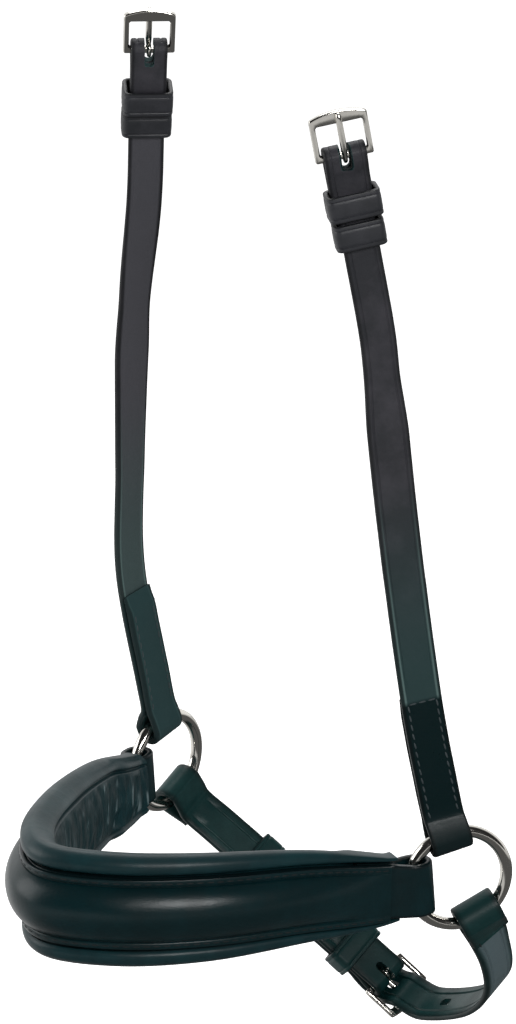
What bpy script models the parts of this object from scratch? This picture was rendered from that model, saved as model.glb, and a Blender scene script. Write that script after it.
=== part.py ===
"""Padded anatomic noseband of a bridle, with its rings, cheek straps and buckled chin strap.

The frame has its origin midway between the two ring centres, +X towards the front of the horse's
nose, +Y towards the horse's left side and +Z up. Driving sizes come first. Every strap is laid
along a Spine, a smooth route that also carries the direction across the strap, and everything that
is threaded on a strap is placed by a distance along that same route.
"""

import math

import bmesh
import bpy
from mathutils import Matrix, Vector

MM = 0.001

# Clearances
SEAM = 0.3 * MM  # between two layers that are sewn or rest on each other
SLIDE = 0.5 * MM  # round a strap inside a running keeper or a buckle frame

# Rings
RING_WIRE = 4.2 * MM
RING_MEAN_RADIUS = 17.0 * MM
RING_SPACING = 143.6 * MM
RING_TURN = {"left": math.radians(-29.1), "right": math.radians(5.9)}  # forward direction, from +X

# Noseband, at the middle of the nose unless it says end
BAND_HEIGHT = 40.6 * MM
BAND_END_HEIGHT = 22.0 * MM
BAND_CENTRE_HEIGHT = 8.4 * MM
BAND_DROP_AT_RING = math.radians(4.5)
BAND_LEVEL = 12.0 * MM  # from the ring's wire to where the band starts to rise
BAND_PLAN = (  # X and Y of the band's middle, from the right ring round the nose to the left ring
    (29.0, -66.0),
    (56.0, -53.5),
    (90.0, -35.0),
    (115.0, -17.0),
    (125.2, 2.5),
    (113.0, 25.0),
    (89.0, 42.5),
    (55.0, 53.5),
    (27.0, 60.0),
)
BACKING_THICKNESS = 2.0 * MM
BACKING_WIDTH = 25.0 * MM
BACKING_END_WIDTH = 19.0 * MM
BACKING_TURN_IN = 22.0 * MM
PAD_DEPTH = 8.6 * MM
PAD_END_DEPTH = 3.2 * MM
PAD_ROLL_PROUD = 2.2 * MM
PAD_START = 4.5 * MM  # from the ring's wire, along the band
PAD_CLEARS_FOLD = 2.4 * MM  # further back at the ring's wire, behind the backing's bulging fold
FOLD_EASE = 8.0 * MM  # from the wire, along a turned strap end, to where its layers lie flat
COVER_THICKNESS = 1.2 * MM
COVER_DOME = 5.0 * MM
COVER_MARGIN = 2.7 * MM
COVER_START = 8.8 * MM
FILLER_START = 30.0 * MM

# Straps
STRAP_WIDTH = 15.2 * MM  # chin strap
CHEEK_WIDTH = 14.1 * MM  # cheek straps near the rings
CHEEK_TOP_WIDTH = 12.0 * MM  # cheek straps below their buckles
CHAPE_WIDTH = {"left": 14.0 * MM, "right": 12.0 * MM}  # cheek straps where they turn round a heel bar
CHAPE_WIDENS_OVER = 10.0 * MM
STRAP_THICKNESS = 2.2 * MM
STRAP_EDGE = 0.45 * MM
LAYER = STRAP_THICKNESS + SEAM  # from the middle of one layer to the middle of the next
LOOP_SLACK = 0.6 * MM  # round a ring's wire inside a turned end
CHIN_LOOP_SLACK = 1.1 * MM

# Cheek straps: X, Y and Z in mm of points from the ring up to the straight top, and the buckle's bar
CHEEK_ROUTE = {
    "left": ((7.3, 68.7, 33.0), (12.7, 65.5, 66.0), (17.5, 59.7, 120.0), (19.9, 53.7, 172.0)),
    "right": ((7.6, -71.4, 34.0), (13.8, -74.6, 76.0), (16.7, -71.1, 116.0), (20.9, -64.1, 172.0)),
}
CHEEK_TOP = {"left": (31.2, 46.2, 252.0), "right": (35.8, -39.2, 272.6)}
CHEEK_TOP_DIRECTION = {"left": (9.7, -5.9, 60.0), "right": (11.3, 15.2, 58.5)}
CHEEK_TOP_STRAIGHT = 60.0 * MM
CHEEK_TOP_TURN = {"left": math.radians(-36.0), "right": math.radians(-39.0)}  # forward edge, from +X
CHEEK_TURNS_FROM = 140.0 * MM  # height at which the strap starts to turn out of the ring's plane
CHEEK_TURNS_TO = 222.0 * MM
CHEEK_NARROWS_AT = 142.0 * MM  # from the ring's wire, along the strap
CHEEK_NARROWS_OVER = 24.0 * MM
CHEEK_TURN_IN = 52.0 * MM  # length of the layer sewn back above the ring

# Keepers
KEEPER_LENGTH = 8.8 * MM
KEEPER_PLAY = 0.8 * MM  # beyond each edge of the strap
KEEPER_WALL = 1.5 * MM
BILLET_ROOM = 3.0 * MM  # left in a keeper for the strap that is buckled in
FIXED_KEEPER_FROM_BAR = {"left": 16.2 * MM, "right": 18.6 * MM, "chin": 15.2 * MM}
KEEPER_GAP = 1.0 * MM

# Buckles
BUCKLE_PLAY = 0.7 * MM  # between a strap's edge and the frame's side bar
CHEEK_BUCKLE_LENGTH = 16.2 * MM  # from the heel bar's back to the top of the arched front bar
CHIN_BUCKLE_LENGTH = 15.5 * MM
BUCKLE_SIDE = 1.8 * MM
BUCKLE_FRONT = 3.4 * MM
BUCKLE_ARCH = 1.7 * MM
BUCKLE_THICKNESS = 2.2 * MM
BUCKLE_ROUNDING = 0.5 * MM
HEEL_BAR = 2.2 * MM
HEEL_SLACK = 0.4 * MM  # round the heel bar inside a strap's fold, so that the frame can tip
PRONG_WIRE = 2.1 * MM
PRONG_EYE_WIRE = 1.4 * MM
PRONG_PLAY = 0.2 * MM
TONGUE_SLOT_WIDTH = 3.2 * MM
TONGUE_SLOT_DEPTH = 4.6 * MM  # beyond the heel bar, away from the buckle

# Chin strap, in a plane that slopes back and down through both ring centres
CHIN_SLOPE = math.radians(60.0)
CHIN_ROUTE = (  # Y, and distance down the sloping plane, from the right ring to the left ring
    (-54.5, 36.5),
    (-36.0, 56.0),
    (-18.0, 75.0),
    (-4.0, 89.5),
    (6.5, 96.5),
    (19.5, 94.0),
    (45.0, 79.0),
    (63.5, 59.5),
    (71.5, 38.0),
)
CHIN_BAR_AT = 99.0 * MM  # of the buckle's heel bar, along the strap from the right ring's wire
CHIN_BUCKLE_TILT = math.radians(6.0)  # of the frame, lifted by the billet under its front bar
CHIN_TURN_IN = 9.5 * MM
CHIN_TAIL = 68.0 * MM  # of the billet beyond the heel bar
CHIN_TIP = 12.0 * MM
CHIN_RUNNING_KEEPER_AT = 38.0 * MM
HOLE_WIDTH = 3.2 * MM
HOLE_LENGTH = 6.6 * MM
HOLE_FROM_BAR = 5.8 * MM  # where the prong goes through the billet
HOLE_SPACING = 28.5 * MM
HOLES_EACH_WAY = 1


# Scene, collections and materials


def clear_scene():
    """Removes every object that the file starts with."""
    for obj in list(bpy.data.objects):
        bpy.data.objects.remove(obj, do_unlink=True)


def make_collection(name):
    """A new collection of the scene."""
    collection = bpy.data.collections.new(name)
    bpy.context.scene.collection.children.link(collection)
    return collection


def make_material(name, colour, roughness, metallic=0.0):
    """A Principled BSDF with a linear base colour."""
    material = bpy.data.materials.new(name)
    material.use_nodes = True
    shader = material.node_tree.nodes["Principled BSDF"]
    shader.inputs["Base Color"].default_value = (*colour, 1.0)
    shader.inputs["Roughness"].default_value = roughness
    shader.inputs["Metallic"].default_value = metallic
    return material


clear_scene()
PARTS = make_collection("anatomic_noseband")
CUTTERS = make_collection("cutters")
MATERIALS = {
    "leather": make_material("black_leather", (0.006, 0.010, 0.011), 0.42),
    "strap": make_material("black_strap_leather", (0.022, 0.023, 0.026), 0.5),
    "lining": make_material("soft_lining_leather", (0.010, 0.016, 0.017), 0.55),
    "foam": make_material("padding_foam", (0.08, 0.08, 0.08), 0.95),
    "steel": make_material("polished_nickel_steel", (0.62, 0.61, 0.58), 0.18, 1.0),
}


def add_object(name, data, material, parent=None, matrix=None):
    """Puts data in the parts collection, under the empty that its joint turns about."""
    obj = bpy.data.objects.new(name, data)
    PARTS.objects.link(obj)
    obj.data.materials.append(MATERIALS[material])
    place(obj, parent, matrix)
    return obj


def place(obj, parent, matrix=None):
    """Sets an object's world matrix and parents it without moving it."""
    if matrix is not None:
        obj.matrix_world = matrix
    if parent is not None:
        obj.parent = parent
        obj.matrix_parent_inverse = pivot_matrix(parent).inverted()


def pivot_matrix(pivot):
    """World matrix of an empty, which may itself hang on another one."""
    if pivot.parent is None:
        return pivot.matrix_basis.copy()
    return pivot_matrix(pivot.parent) @ pivot.matrix_parent_inverse @ pivot.matrix_basis


def make_pivot(name, matrix, parent=None):
    """An empty on a joint's axis."""
    pivot = bpy.data.objects.new(name, None)
    pivot.empty_display_size = 10 * MM
    PARTS.objects.link(pivot)
    place(pivot, parent, matrix)
    return pivot


# Geometry helpers


def blend(start, end, share):
    """start at 0, end at 1, eased at both."""
    share = min(max(share, 0.0), 1.0)
    return start + (end - start) * share * share * (3 - 2 * share)


def catmull_rom(values, steps):
    """Points on a smooth curve through the given vectors, with this many steps in each span."""
    first = 2 * values[0] - values[1]
    last = 2 * values[-1] - values[-2]
    knots = [first, *values, last]
    points = []
    for a, b, c, d in zip(knots, knots[1:], knots[2:], knots[3:]):
        for i in range(steps):
            t = i / steps
            points.append(
                0.5 * (2 * b + (c - a) * t + (2 * a - 5 * b + 4 * c - d) * t**2 + (3 * b - a - 3 * c + d) * t**3)
            )
    return points + [values[-1].copy()]


class Spine:
    """A smooth route for a strap. At each distance s along it there is a position, a direction across
    the strap and an outward normal, and place() gives the point with these strap coordinates. The
    strap is square to its route, but near an end that is turned round a ring's wire its given across
    direction is kept, so that the fold lies along the wire."""

    STEPS = 16
    EASE = 16 * MM

    def __init__(self, points, across, wire_at_end):
        self.wire_at_end = wire_at_end
        self.points = catmull_rom(points, self.STEPS)
        self.across = catmull_rom(across, self.STEPS)
        self.lengths = [0.0]
        for a, b in zip(self.points, self.points[1:]):
            self.lengths.append(self.lengths[-1] + (b - a).length)
        self.length = self.lengths[-1]

    def at(self, s):
        """Position, across, normal and along directions at a distance, straight on past either end."""
        inside = min(max(s, 0.0), self.length)
        i = next(k for k in range(1, len(self.lengths)) if inside <= self.lengths[k] or k == len(self.lengths) - 1)
        share = (inside - self.lengths[i - 1]) / (self.lengths[i] - self.lengths[i - 1])
        before = self.direction(i - 1)
        after = self.direction(i)
        along = before.lerp(after, share).normalized()
        point = self.points[i - 1].lerp(self.points[i], share) + along * (s - inside)
        across = self.across[i - 1].lerp(self.across[i], share)
        from_wire = min(inside, self.length - inside) if self.wire_at_end else inside
        square = blend(0.0, 1.0, from_wire / self.EASE)
        across = (across - square * across.dot(along) * along).normalized()
        return point, across, along.cross(across).normalized(), along

    def direction(self, i):
        """Unit direction of the route at its i-th dense point."""
        return (self.points[min(i + 1, len(self.points) - 1)] - self.points[max(i - 1, 0)]).normalized()

    def place(self, s, n=0.0, x=0.0):
        """The point s along the route, n outwards and x across."""
        point, across, normal, _ = self.at(s)
        return point + normal * n + across * x

    def frame(self, s, n=0.0):
        """Matrix whose X is across, Y outward and Z along the strap."""
        point, _, normal, along = self.at(s)
        matrix = Matrix((normal.cross(along), normal, along)).transposed().to_4x4()
        matrix.translation = point + normal * n
        return matrix


def loft(name, rings, material, parent=None):
    """A closed solid through rings of as many points each, with a flat cap on each end."""
    bm = bmesh.new()
    rows = [[bm.verts.new(point) for point in ring] for ring in rings]
    for a, b in zip(rows, rows[1:]):
        for i in range(len(a)):
            j = (i + 1) % len(a)
            bm.faces.new((a[i], a[j], b[j], b[i]))
    bm.faces.new(reversed(rows[0]))
    bm.faces.new(rows[-1])
    if bm.calc_volume(signed=True) < 0:
        bmesh.ops.reverse_faces(bm, faces=bm.faces)
    mesh = bpy.data.meshes.new(name)
    bm.to_mesh(mesh)
    bm.free()
    mesh.shade_smooth()
    mesh.set_sharp_from_angle(angle=math.radians(35))
    return add_object(name, mesh, material, parent)


def strap_section(width, thickness, edge=STRAP_EDGE):
    """Outline of a strap cut across: a rectangle with its four corners taken off, as (x, y) points."""
    x, y = width / 2, thickness / 2
    return [
        (x - edge, -y),
        (x, -y + edge),
        (x, y - edge),
        (x - edge, y),
        (-x + edge, y),
        (-x, y - edge),
        (-x, -y + edge),
        (-x + edge, -y),
    ]


def ribbon(name, spine, profile, material, width, thickness, parent=None):
    """A strap of leather that follows a profile of (s, n) points beside a spine, folds included.
    width is a number, or a function of s; thickness likewise."""
    rings = []
    for i, (s, n) in enumerate(profile):
        before = profile[max(i - 1, 0)]
        after = profile[min(i + 1, len(profile) - 1)]
        run = Vector((after[0] - before[0], after[1] - before[1])).normalized()
        wide = width(s) if callable(width) else width
        thick = thickness(s) if callable(thickness) else thickness
        rings.append([spine.place(s - y * run.y, n + y * run.x, x) for x, y in strap_section(wide, thick)])
    return loft(name, rings, material, parent)


def spread(start, end, step):
    """Even distances from start to end, about a step apart, both ends left out."""
    count = max(1, round(abs(end - start) / step))
    return [start + (end - start) * i / count for i in range(1, count)]


def turned_end(radius, middle, main, tail, tail_length, thickness, ease=FOLD_EASE):
    """Profile of a strap end turned round a wire at s = 0, from the tail's cut end to the main layer.
    The hollow in it has this radius at (s, n) = middle, on the far side of the wire, and stays as
    wide until s = 0. main and tail are the two layers' distances from the spine."""
    side = 1 if main > tail else -1
    reach = radius + thickness / 2
    s, n = middle
    points = [(tail_length, tail)]
    points += [(at, tail) for at in spread(tail_length, ease, 12 * MM)]
    points += [(ease, tail), (ease / 2, (tail + n - side * reach) / 2)]
    if s < 0:
        points.append((0.0, n - side * reach))
    steps = 8
    for i in range(steps + 1):
        angle = math.radians(-90 - 180 * i / steps)
        points.append((s + reach * math.cos(angle), n + side * reach * math.sin(angle)))
    if s < 0:
        points.append((0.0, n + side * reach))
    return points + [(ease / 2, (main + n + side * reach) / 2), (ease, main)]


def ring_loop(width, slack, tilt):
    """Radius and middle of the hollow that lets a ring's curved wire through a turned strap end, which
    seats on the wire. tilt is the angle by which the strap leaves the ring's plane inwards."""
    rise = math.sqrt(RING_MEAN_RADIUS**2 - (width / 2) ** 2)
    sag = RING_MEAN_RADIUS - rise
    shift = sag * math.sin(abs(tilt)) / 2
    wire = RING_WIRE / 2 * RING_MEAN_RADIUS / rise  # half of the wire as the strap's edge crosses it
    radius = wire + slack + shift
    return radius, (-sag * math.cos(tilt) + slack - 1.5 * SEAM, -math.copysign(shift, tilt))


def flat_curve(name, outlines, depth):
    """A 2D curve with closed outlines, filled, this thick about its own plane."""
    curve = bpy.data.curves.new(name, "CURVE")
    curve.dimensions = "2D"
    curve.fill_mode = "BOTH"
    curve.extrude = depth / 2
    for outline in outlines:
        spline = curve.splines.new("POLY")
        spline.points.add(len(outline) - 1)
        for point, (x, y) in zip(spline.points, outline):
            point.co = (x, y, 0.0, 1.0)
        spline.use_cyclic_u = True
    return curve


def rounded_rectangle(width, height, radius, centre=(0.0, 0.0), steps=4):
    """Outline of a rectangle with round corners."""
    points = []
    for sx, sy, start in ((1, -1, -90), (1, 1, 0), (-1, 1, 90), (-1, -1, 180)):
        for i in range(steps + 1):
            angle = math.radians(start + 90 * i / steps)
            points.append(
                (
                    centre[0] + sx * (width / 2 - radius) + radius * math.cos(angle),
                    centre[1] + sy * (height / 2 - radius) + radius * math.sin(angle),
                )
            )
    return points


def add_cutter(name, mesh, matrix):
    """A helper solid that a Boolean takes away."""
    obj = bpy.data.objects.new(name, mesh)
    CUTTERS.objects.link(obj)
    obj.matrix_world = matrix
    obj.hide_render = True
    obj.display_type = "WIRE"
    return obj


def cut(obj, cutter):
    """Takes a cutter away from an object."""
    modifier = obj.modifiers.new(cutter.name, "BOOLEAN")
    modifier.operation = "DIFFERENCE"
    modifier.solver = "EXACT"
    modifier.object = cutter


def stadium(width, low, high, steps=6):
    """Outline of a slot along Y with round ends, this wide, from low to high."""
    radius = width / 2
    points = []
    for centre, start in ((high - radius, 0), (low + radius, 180)):
        for i in range(steps + 1):
            angle = math.radians(start + 180 * i / steps)
            points.append((radius * math.cos(angle), centre + radius * math.sin(angle)))
    return points


# Rings


def ring_centre(side):
    """Centre of a ring."""
    return Vector((0.0, RING_SPACING / 2 if side == "left" else -RING_SPACING / 2, 0.0))


def ring_axes(side):
    """Forward direction in the ring's plane, and the ring's axis, which points to the horse's left."""
    forward = Vector((math.cos(RING_TURN[side]), math.sin(RING_TURN[side]), 0.0))
    return forward, Vector((0.0, 0.0, 1.0)).cross(forward)


def ring_direction(side, angle):
    """Unit vector in a ring's plane, at an angle up from its forward direction."""
    forward, _ = ring_axes(side)
    return forward * math.cos(angle) + Vector((0.0, 0.0, math.sin(angle)))


def wire_angle(side, target):
    """Angle of the wire's point that a strap to this target leaves straight away from the centre."""
    forward, _ = ring_axes(side)
    away = target - ring_centre(side)
    return math.atan2(away.z, away.dot(forward))


def ring_matrix(side):
    """Matrix at a ring's centre, with Z along the ring's axis."""
    forward, axis = ring_axes(side)
    matrix = Matrix((forward, axis.cross(forward), axis)).transposed().to_4x4()
    matrix.translation = ring_centre(side)
    return matrix


def make_ring(side):
    """A welded ring of round wire."""
    pivot = make_pivot(f"ring_{side}_pivot", ring_matrix(side))
    bpy.ops.mesh.primitive_torus_add(
        major_radius=RING_MEAN_RADIUS,
        minor_radius=RING_WIRE / 2,
        major_segments=48,
        minor_segments=10,
    )
    torus = bpy.context.object
    mesh = torus.data
    bpy.data.objects.remove(torus, do_unlink=True)
    mesh.shade_smooth()
    return add_object(f"ring_{side}", mesh, "steel", pivot, ring_matrix(side))


# Noseband


def band_rise(s, length):
    """0 at a ring and 1 at the front of the nose: how far the band has grown to its full height."""
    share = min(max(min(s, length - s) / (length / 2), 0.0), 1.0)
    return 1 - (1 - share) ** 2.5


def band_spine():
    """Route of the noseband through both rings' wires, with Z worked out from the band's rise."""
    plan = [Vector((x, y, 0.0)) * MM for x, y in BAND_PLAN]
    ends = {
        side: ring_centre(side) + RING_MEAN_RADIUS * ring_direction(side, -BAND_DROP_AT_RING)
        for side in ("left", "right")
    }
    edges = {side: ring_direction(side, math.pi / 2 - BAND_DROP_AT_RING) for side in ends}
    route = [ends["right"], *plan, ends["left"]]
    lengths = [0.0]
    for a, b in zip(route, route[1:]):
        lengths.append(lengths[-1] + (b.xy - a.xy).length)
    low = ends["left"].z
    for point, s in zip(route, lengths):
        point.z = low + (BAND_CENTRE_HEIGHT - low) * band_rise(s - BAND_LEVEL, lengths[-1] - 2 * BAND_LEVEL)
    up = Vector((0.0, 0.0, 1.0))
    return Spine(route, [edges["right"], *[up] * len(plan), edges["left"]], True)


class Noseband:
    """The padded band: a backing strap turned round both rings, a soft pad behind it and a raised
    cover over a filler in front. Section sizes are functions of the distance along the band."""

    STATIONS = 30

    def __init__(self):
        self.spine = band_spine()
        self.length = self.spine.length

    def from_end(self, s):
        """Distance to the nearer ring's wire."""
        return min(s, self.length - s)

    def backing_width(self, s):
        """Width of the backing strap, and of the cover sewn to its edges."""
        return BACKING_END_WIDTH + (BACKING_WIDTH - BACKING_END_WIDTH) * band_rise(s, self.length)

    def half_height(self, s):
        """Half of the pad's height."""
        return (BAND_END_HEIGHT + (BAND_HEIGHT - BAND_END_HEIGHT) * band_rise(s, self.length)) / 2

    def seat(self, s):
        """Outer face of the pad, behind the backing strap and, near a ring, its turned-in end."""
        face = -BACKING_THICKNESS / 2 - SEAM
        turned = face - BACKING_THICKNESS - SEAM
        turned -= PAD_CLEARS_FOLD * max(0.0, 1 - self.from_end(s) / FOLD_EASE)
        start = BACKING_TURN_IN + 1 * MM
        return blend(turned, face, (self.from_end(s) - start) / (10 * MM))

    def pad_ring(self, s):
        """Section of the pad: crowned at the back, with a roll above and below the backing strap."""
        rise = band_rise(s, self.length)
        half = self.half_height(s)
        channel = self.backing_width(s) / 2 + 2 * SEAM
        seat = self.seat(s)
        proud = PAD_ROLL_PROUD * rise
        depth = PAD_END_DEPTH + (PAD_DEPTH - PAD_END_DEPTH) * rise
        roll = half - channel
        upper = [
            (channel, seat),
            (channel + 0.10 * roll, seat + 0.7 * (proud - seat)),
            (channel + 0.32 * roll, proud),
            (channel + 0.66 * roll, proud - 0.06 * roll),
            (channel + 0.93 * roll, proud - 0.35 * roll),
            (half, seat - 0.12 * depth),
            (half - 0.04 * half, seat - 0.42 * depth),
            (0.82 * half, seat - 0.76 * depth),
            (0.58 * half, seat - 0.94 * depth),
            (0.25 * half, seat - depth),
        ]
        lower = [(-x, y) for x, y in reversed(upper)]
        return [self.spine.place(s, y, x) for x, y in upper + lower]

    def dome(self, s):
        """Height of the raised cover's crown over its margins."""
        rise = band_rise(self.from_end(s) - COVER_START, self.length - 2 * COVER_START)
        return COVER_DOME * blend(0.0, 1.0, 1.25 * rise)

    def arch(self, s, half, low, high, steps):
        """Points of a crown over the band's middle, from one edge to the other."""
        points = []
        for i in range(steps + 1):
            x = half - 2 * half * i / steps
            lift = max(0.0, 1 - (x / half) ** 2) ** 0.75
            points.append((x, low + (high - low) * lift))
        return points

    def cover_ring(self, s):
        """Section of the cover: a flat margin at each edge and a crown between."""
        base = BACKING_THICKNESS / 2 + SEAM
        half = self.backing_width(s) / 2
        inner_half = half - COVER_MARGIN
        top = base + COVER_THICKNESS
        outer = [(half, base), (half, top)]
        outer += self.arch(s, inner_half, top, top + self.dome(s), 10)
        outer += [(-half, top), (-half, base)]
        hollow_half = inner_half - 0.3 * MM
        inner = self.arch(s, hollow_half, base, base + self.dome(s) * 0.97, 10)
        return [self.spine.place(s, y, x) for x, y in outer + list(reversed(inner))]

    def filler_ring(self, s):
        """Section of the filler under the cover's crown."""
        base = BACKING_THICKNESS / 2 + SEAM
        half = self.backing_width(s) / 2 - COVER_MARGIN - 0.9 * MM
        crown = self.arch(s, half, base + 0.2 * MM, base + self.dome(s) * 0.97 - 0.5 * MM, 8)
        points = [(half, base), *crown, (-half, base)]
        return [self.spine.place(s, y, x) for x, y in points]

    def stations(self, start, count):
        """Distances along the band from start to the same distance before the other ring."""
        return [start + (self.length - 2 * start) * i / count for i in range(count + 1)]

    def backing_profile(self):
        """The backing strap's profile, turned round a ring's wire at each end."""
        right = self.loop("right", self.spine.at(0.0)[3])
        left = self.loop("left", -self.spine.at(self.length)[3])
        run = [(s, 0.0) for s in spread(right[-1][0], self.length - left[-1][0], 9 * MM)]
        return right + run + [(self.length - s, n) for s, n in reversed(left)]

    def loop(self, side, direction):
        """Profile of the backing strap's end, turned round a ring's wire and sewn on behind."""
        radius, middle = ring_loop(BACKING_END_WIDTH, LOOP_SLACK, loop_tilt(side, direction))
        tail = -BACKING_THICKNESS - SEAM
        return turned_end(radius, middle, 0.0, tail, BACKING_TURN_IN, BACKING_THICKNESS)

    def make(self):
        """The four pieces of the noseband."""
        count = self.STATIONS
        pad = [self.pad_ring(s) for s in self.stations(PAD_START, count)]
        cover = [self.cover_ring(s) for s in self.stations(COVER_START, count)]
        filler = [self.filler_ring(s) for s in self.stations(FILLER_START, count - 6)]
        loft("noseband_pad", pad, "lining")
        loft("noseband_filler", filler, "foam")
        loft("noseband_cover", cover, "leather")
        ribbon(
            "noseband_backing",
            self.spine,
            self.backing_profile(),
            "leather",
            self.backing_width,
            BACKING_THICKNESS,
        )


# Keepers and buckles


def make_keeper(name, spine, s, strap_width, low, high, parent, material="strap"):
    """A leather loop round a strap, whose hollow spans low to high outwards from the spine."""
    width = strap_width + 2 * KEEPER_PLAY
    height = high - low
    outlines = [
        rounded_rectangle(width + 2 * KEEPER_WALL, height + 2 * KEEPER_WALL, 1.9 * MM),
        rounded_rectangle(width, height, 0.6 * MM),
    ]
    matrix = spine.frame(s, (low + high) / 2)
    return add_object(name, flat_curve(name, outlines, KEEPER_LENGTH), material, parent, matrix)


def buckle_matrix(spine, s, tilt=0.0):
    """Matrix on a heel bar: X across the strap, Y from the bar to the frame's front, Z outwards."""
    point, _, normal, along = spine.at(s)
    matrix = Matrix((along.cross(normal), along, normal)).transposed().to_4x4()
    matrix.translation = point
    return matrix @ Matrix.Rotation(tilt, 4, "X")


class Buckle:
    """A flat frame with an arched front bar, for a strap of one width, and a prong of wire bent round
    its heel bar. Its own axes are those of buckle_matrix."""

    def __init__(self, strap_width, length):
        self.inside_width = strap_width + 2 * BUCKLE_PLAY
        self.length = length
        self.front = length - HEEL_BAR / 2  # top of the front bar's arch
        self.front_inside = self.front - BUCKLE_ARCH / 2 - BUCKLE_FRONT

    def outlines(self):
        """Outer and inner outline of the frame."""
        half = self.inside_width / 2 + BUCKLE_SIDE
        heel = -HEEL_BAR / 2
        shoulder = self.front - BUCKLE_ARCH
        outer = [(half - 0.5 * MM, heel), (half, heel + 0.5 * MM), (half, shoulder - 1.2 * MM)]
        steps = 10
        for i in range(steps + 1):
            x = (half - 0.5 * MM) * (1 - 2 * i / steps)
            outer.append((x, shoulder + BUCKLE_ARCH * (1 - (x / half) ** 2)))
        outer += [(-x, y) for x, y in reversed(outer[:3])]
        bottom = HEEL_BAR / 2
        middle = (0.0, (self.front_inside + bottom) / 2)
        inner = rounded_rectangle(self.inside_width, self.front_inside - bottom, 0.5 * MM, middle, steps=2)
        return outer, inner

    def make_frame(self, name, matrix, pivot):
        """The frame, with its edges rounded."""
        curve = flat_curve(name, self.outlines(), BUCKLE_THICKNESS - 2 * BUCKLE_ROUNDING)
        curve.bevel_depth = BUCKLE_ROUNDING
        curve.bevel_resolution = 1
        curve.offset = -BUCKLE_ROUNDING
        return add_object(name, curve, "steel", pivot, matrix)

    def make_prong(self, name, matrix, pivot):
        """The prong, laid on the front bar."""
        eye = HEEL_BAR / 2 + PRONG_PLAY + PRONG_EYE_WIRE / 2
        rest = BUCKLE_THICKNESS / 2 + SEAM / 2 + PRONG_WIRE / 2
        tip = self.front - 0.6 * MM
        points = []
        turns = 9
        for i in range(turns + 1):
            angle = math.radians(-15 - 255 * i / turns)
            points.append((eye * math.cos(angle), eye * math.sin(angle), PRONG_EYE_WIRE / 2))
        points += [
            (3.2 * MM, rest - 0.1 * MM, PRONG_WIRE / 2),
            (tip - 3 * MM, rest, PRONG_WIRE / 2),
            (tip - 0.6 * MM, rest - 0.1 * MM, 0.75 * PRONG_WIRE / 2),
            (tip, rest - 0.15 * MM, 0.4 * PRONG_WIRE / 2),
        ]
        curve = bpy.data.curves.new(name, "CURVE")
        curve.dimensions = "3D"
        curve.bevel_depth = PRONG_WIRE / 2
        curve.bevel_resolution = 1
        curve.use_fill_caps = True
        spline = curve.splines.new("POLY")
        spline.points.add(len(points) - 1)
        for point, (y, z, radius) in zip(spline.points, points):
            point.co = (0.0, y, z, 1.0)
            point.radius = radius / (PRONG_WIRE / 2)
        return add_object(name, curve, "steel", pivot, matrix)


def chape_profile(spine_end, keeper_from_bar):
    """Profile of the strap end turned round a heel bar at spine_end, from the main layer to the tail,
    which ends in the fixed keeper."""
    radius = HEEL_BAR / 2 + HEEL_SLACK
    turn_in = keeper_from_bar + KEEPER_LENGTH / 2 - SEAM
    profile = turned_end(radius, (0.0, 0.0), 0.0, -LAYER, turn_in, STRAP_THICKNESS)
    return [(spine_end - s, n) for s, n in reversed(profile)]


def cut_tongue_slot(strap, name, spine, bar):
    """Cuts the slot that lets the prong through a chape and over its fold."""
    outline = stadium(TONGUE_SLOT_WIDTH, -TONGUE_SLOT_DEPTH, 9 * MM)
    cutter = mesh_from_curve_data(name, flat_curve(name, [outline], 14 * MM))
    cut(strap, add_cutter(name, cutter, buckle_matrix(spine, bar)))


def mesh_from_curve_data(name, curve):
    """The welded mesh that a curve makes."""
    obj = bpy.data.objects.new(name + "_curve", curve)
    CUTTERS.objects.link(obj)
    graph = bpy.context.evaluated_depsgraph_get()
    mesh = bpy.data.meshes.new_from_object(obj.evaluated_get(graph))
    bpy.data.objects.remove(obj, do_unlink=True)
    bm = bmesh.new()
    bm.from_mesh(mesh)
    bmesh.ops.remove_doubles(bm, verts=bm.verts, dist=1e-6)
    bmesh.ops.recalc_face_normals(bm, faces=bm.faces)
    bm.to_mesh(mesh)
    bm.free()
    return mesh


def loop_tilt(side, direction):
    """Angle by which a strap leaves a ring's plane inwards."""
    _, axis = ring_axes(side)
    inward = -axis if side == "left" else axis
    return math.asin(max(-1.0, min(1.0, direction.dot(inward))))


# Cheek straps


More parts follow.
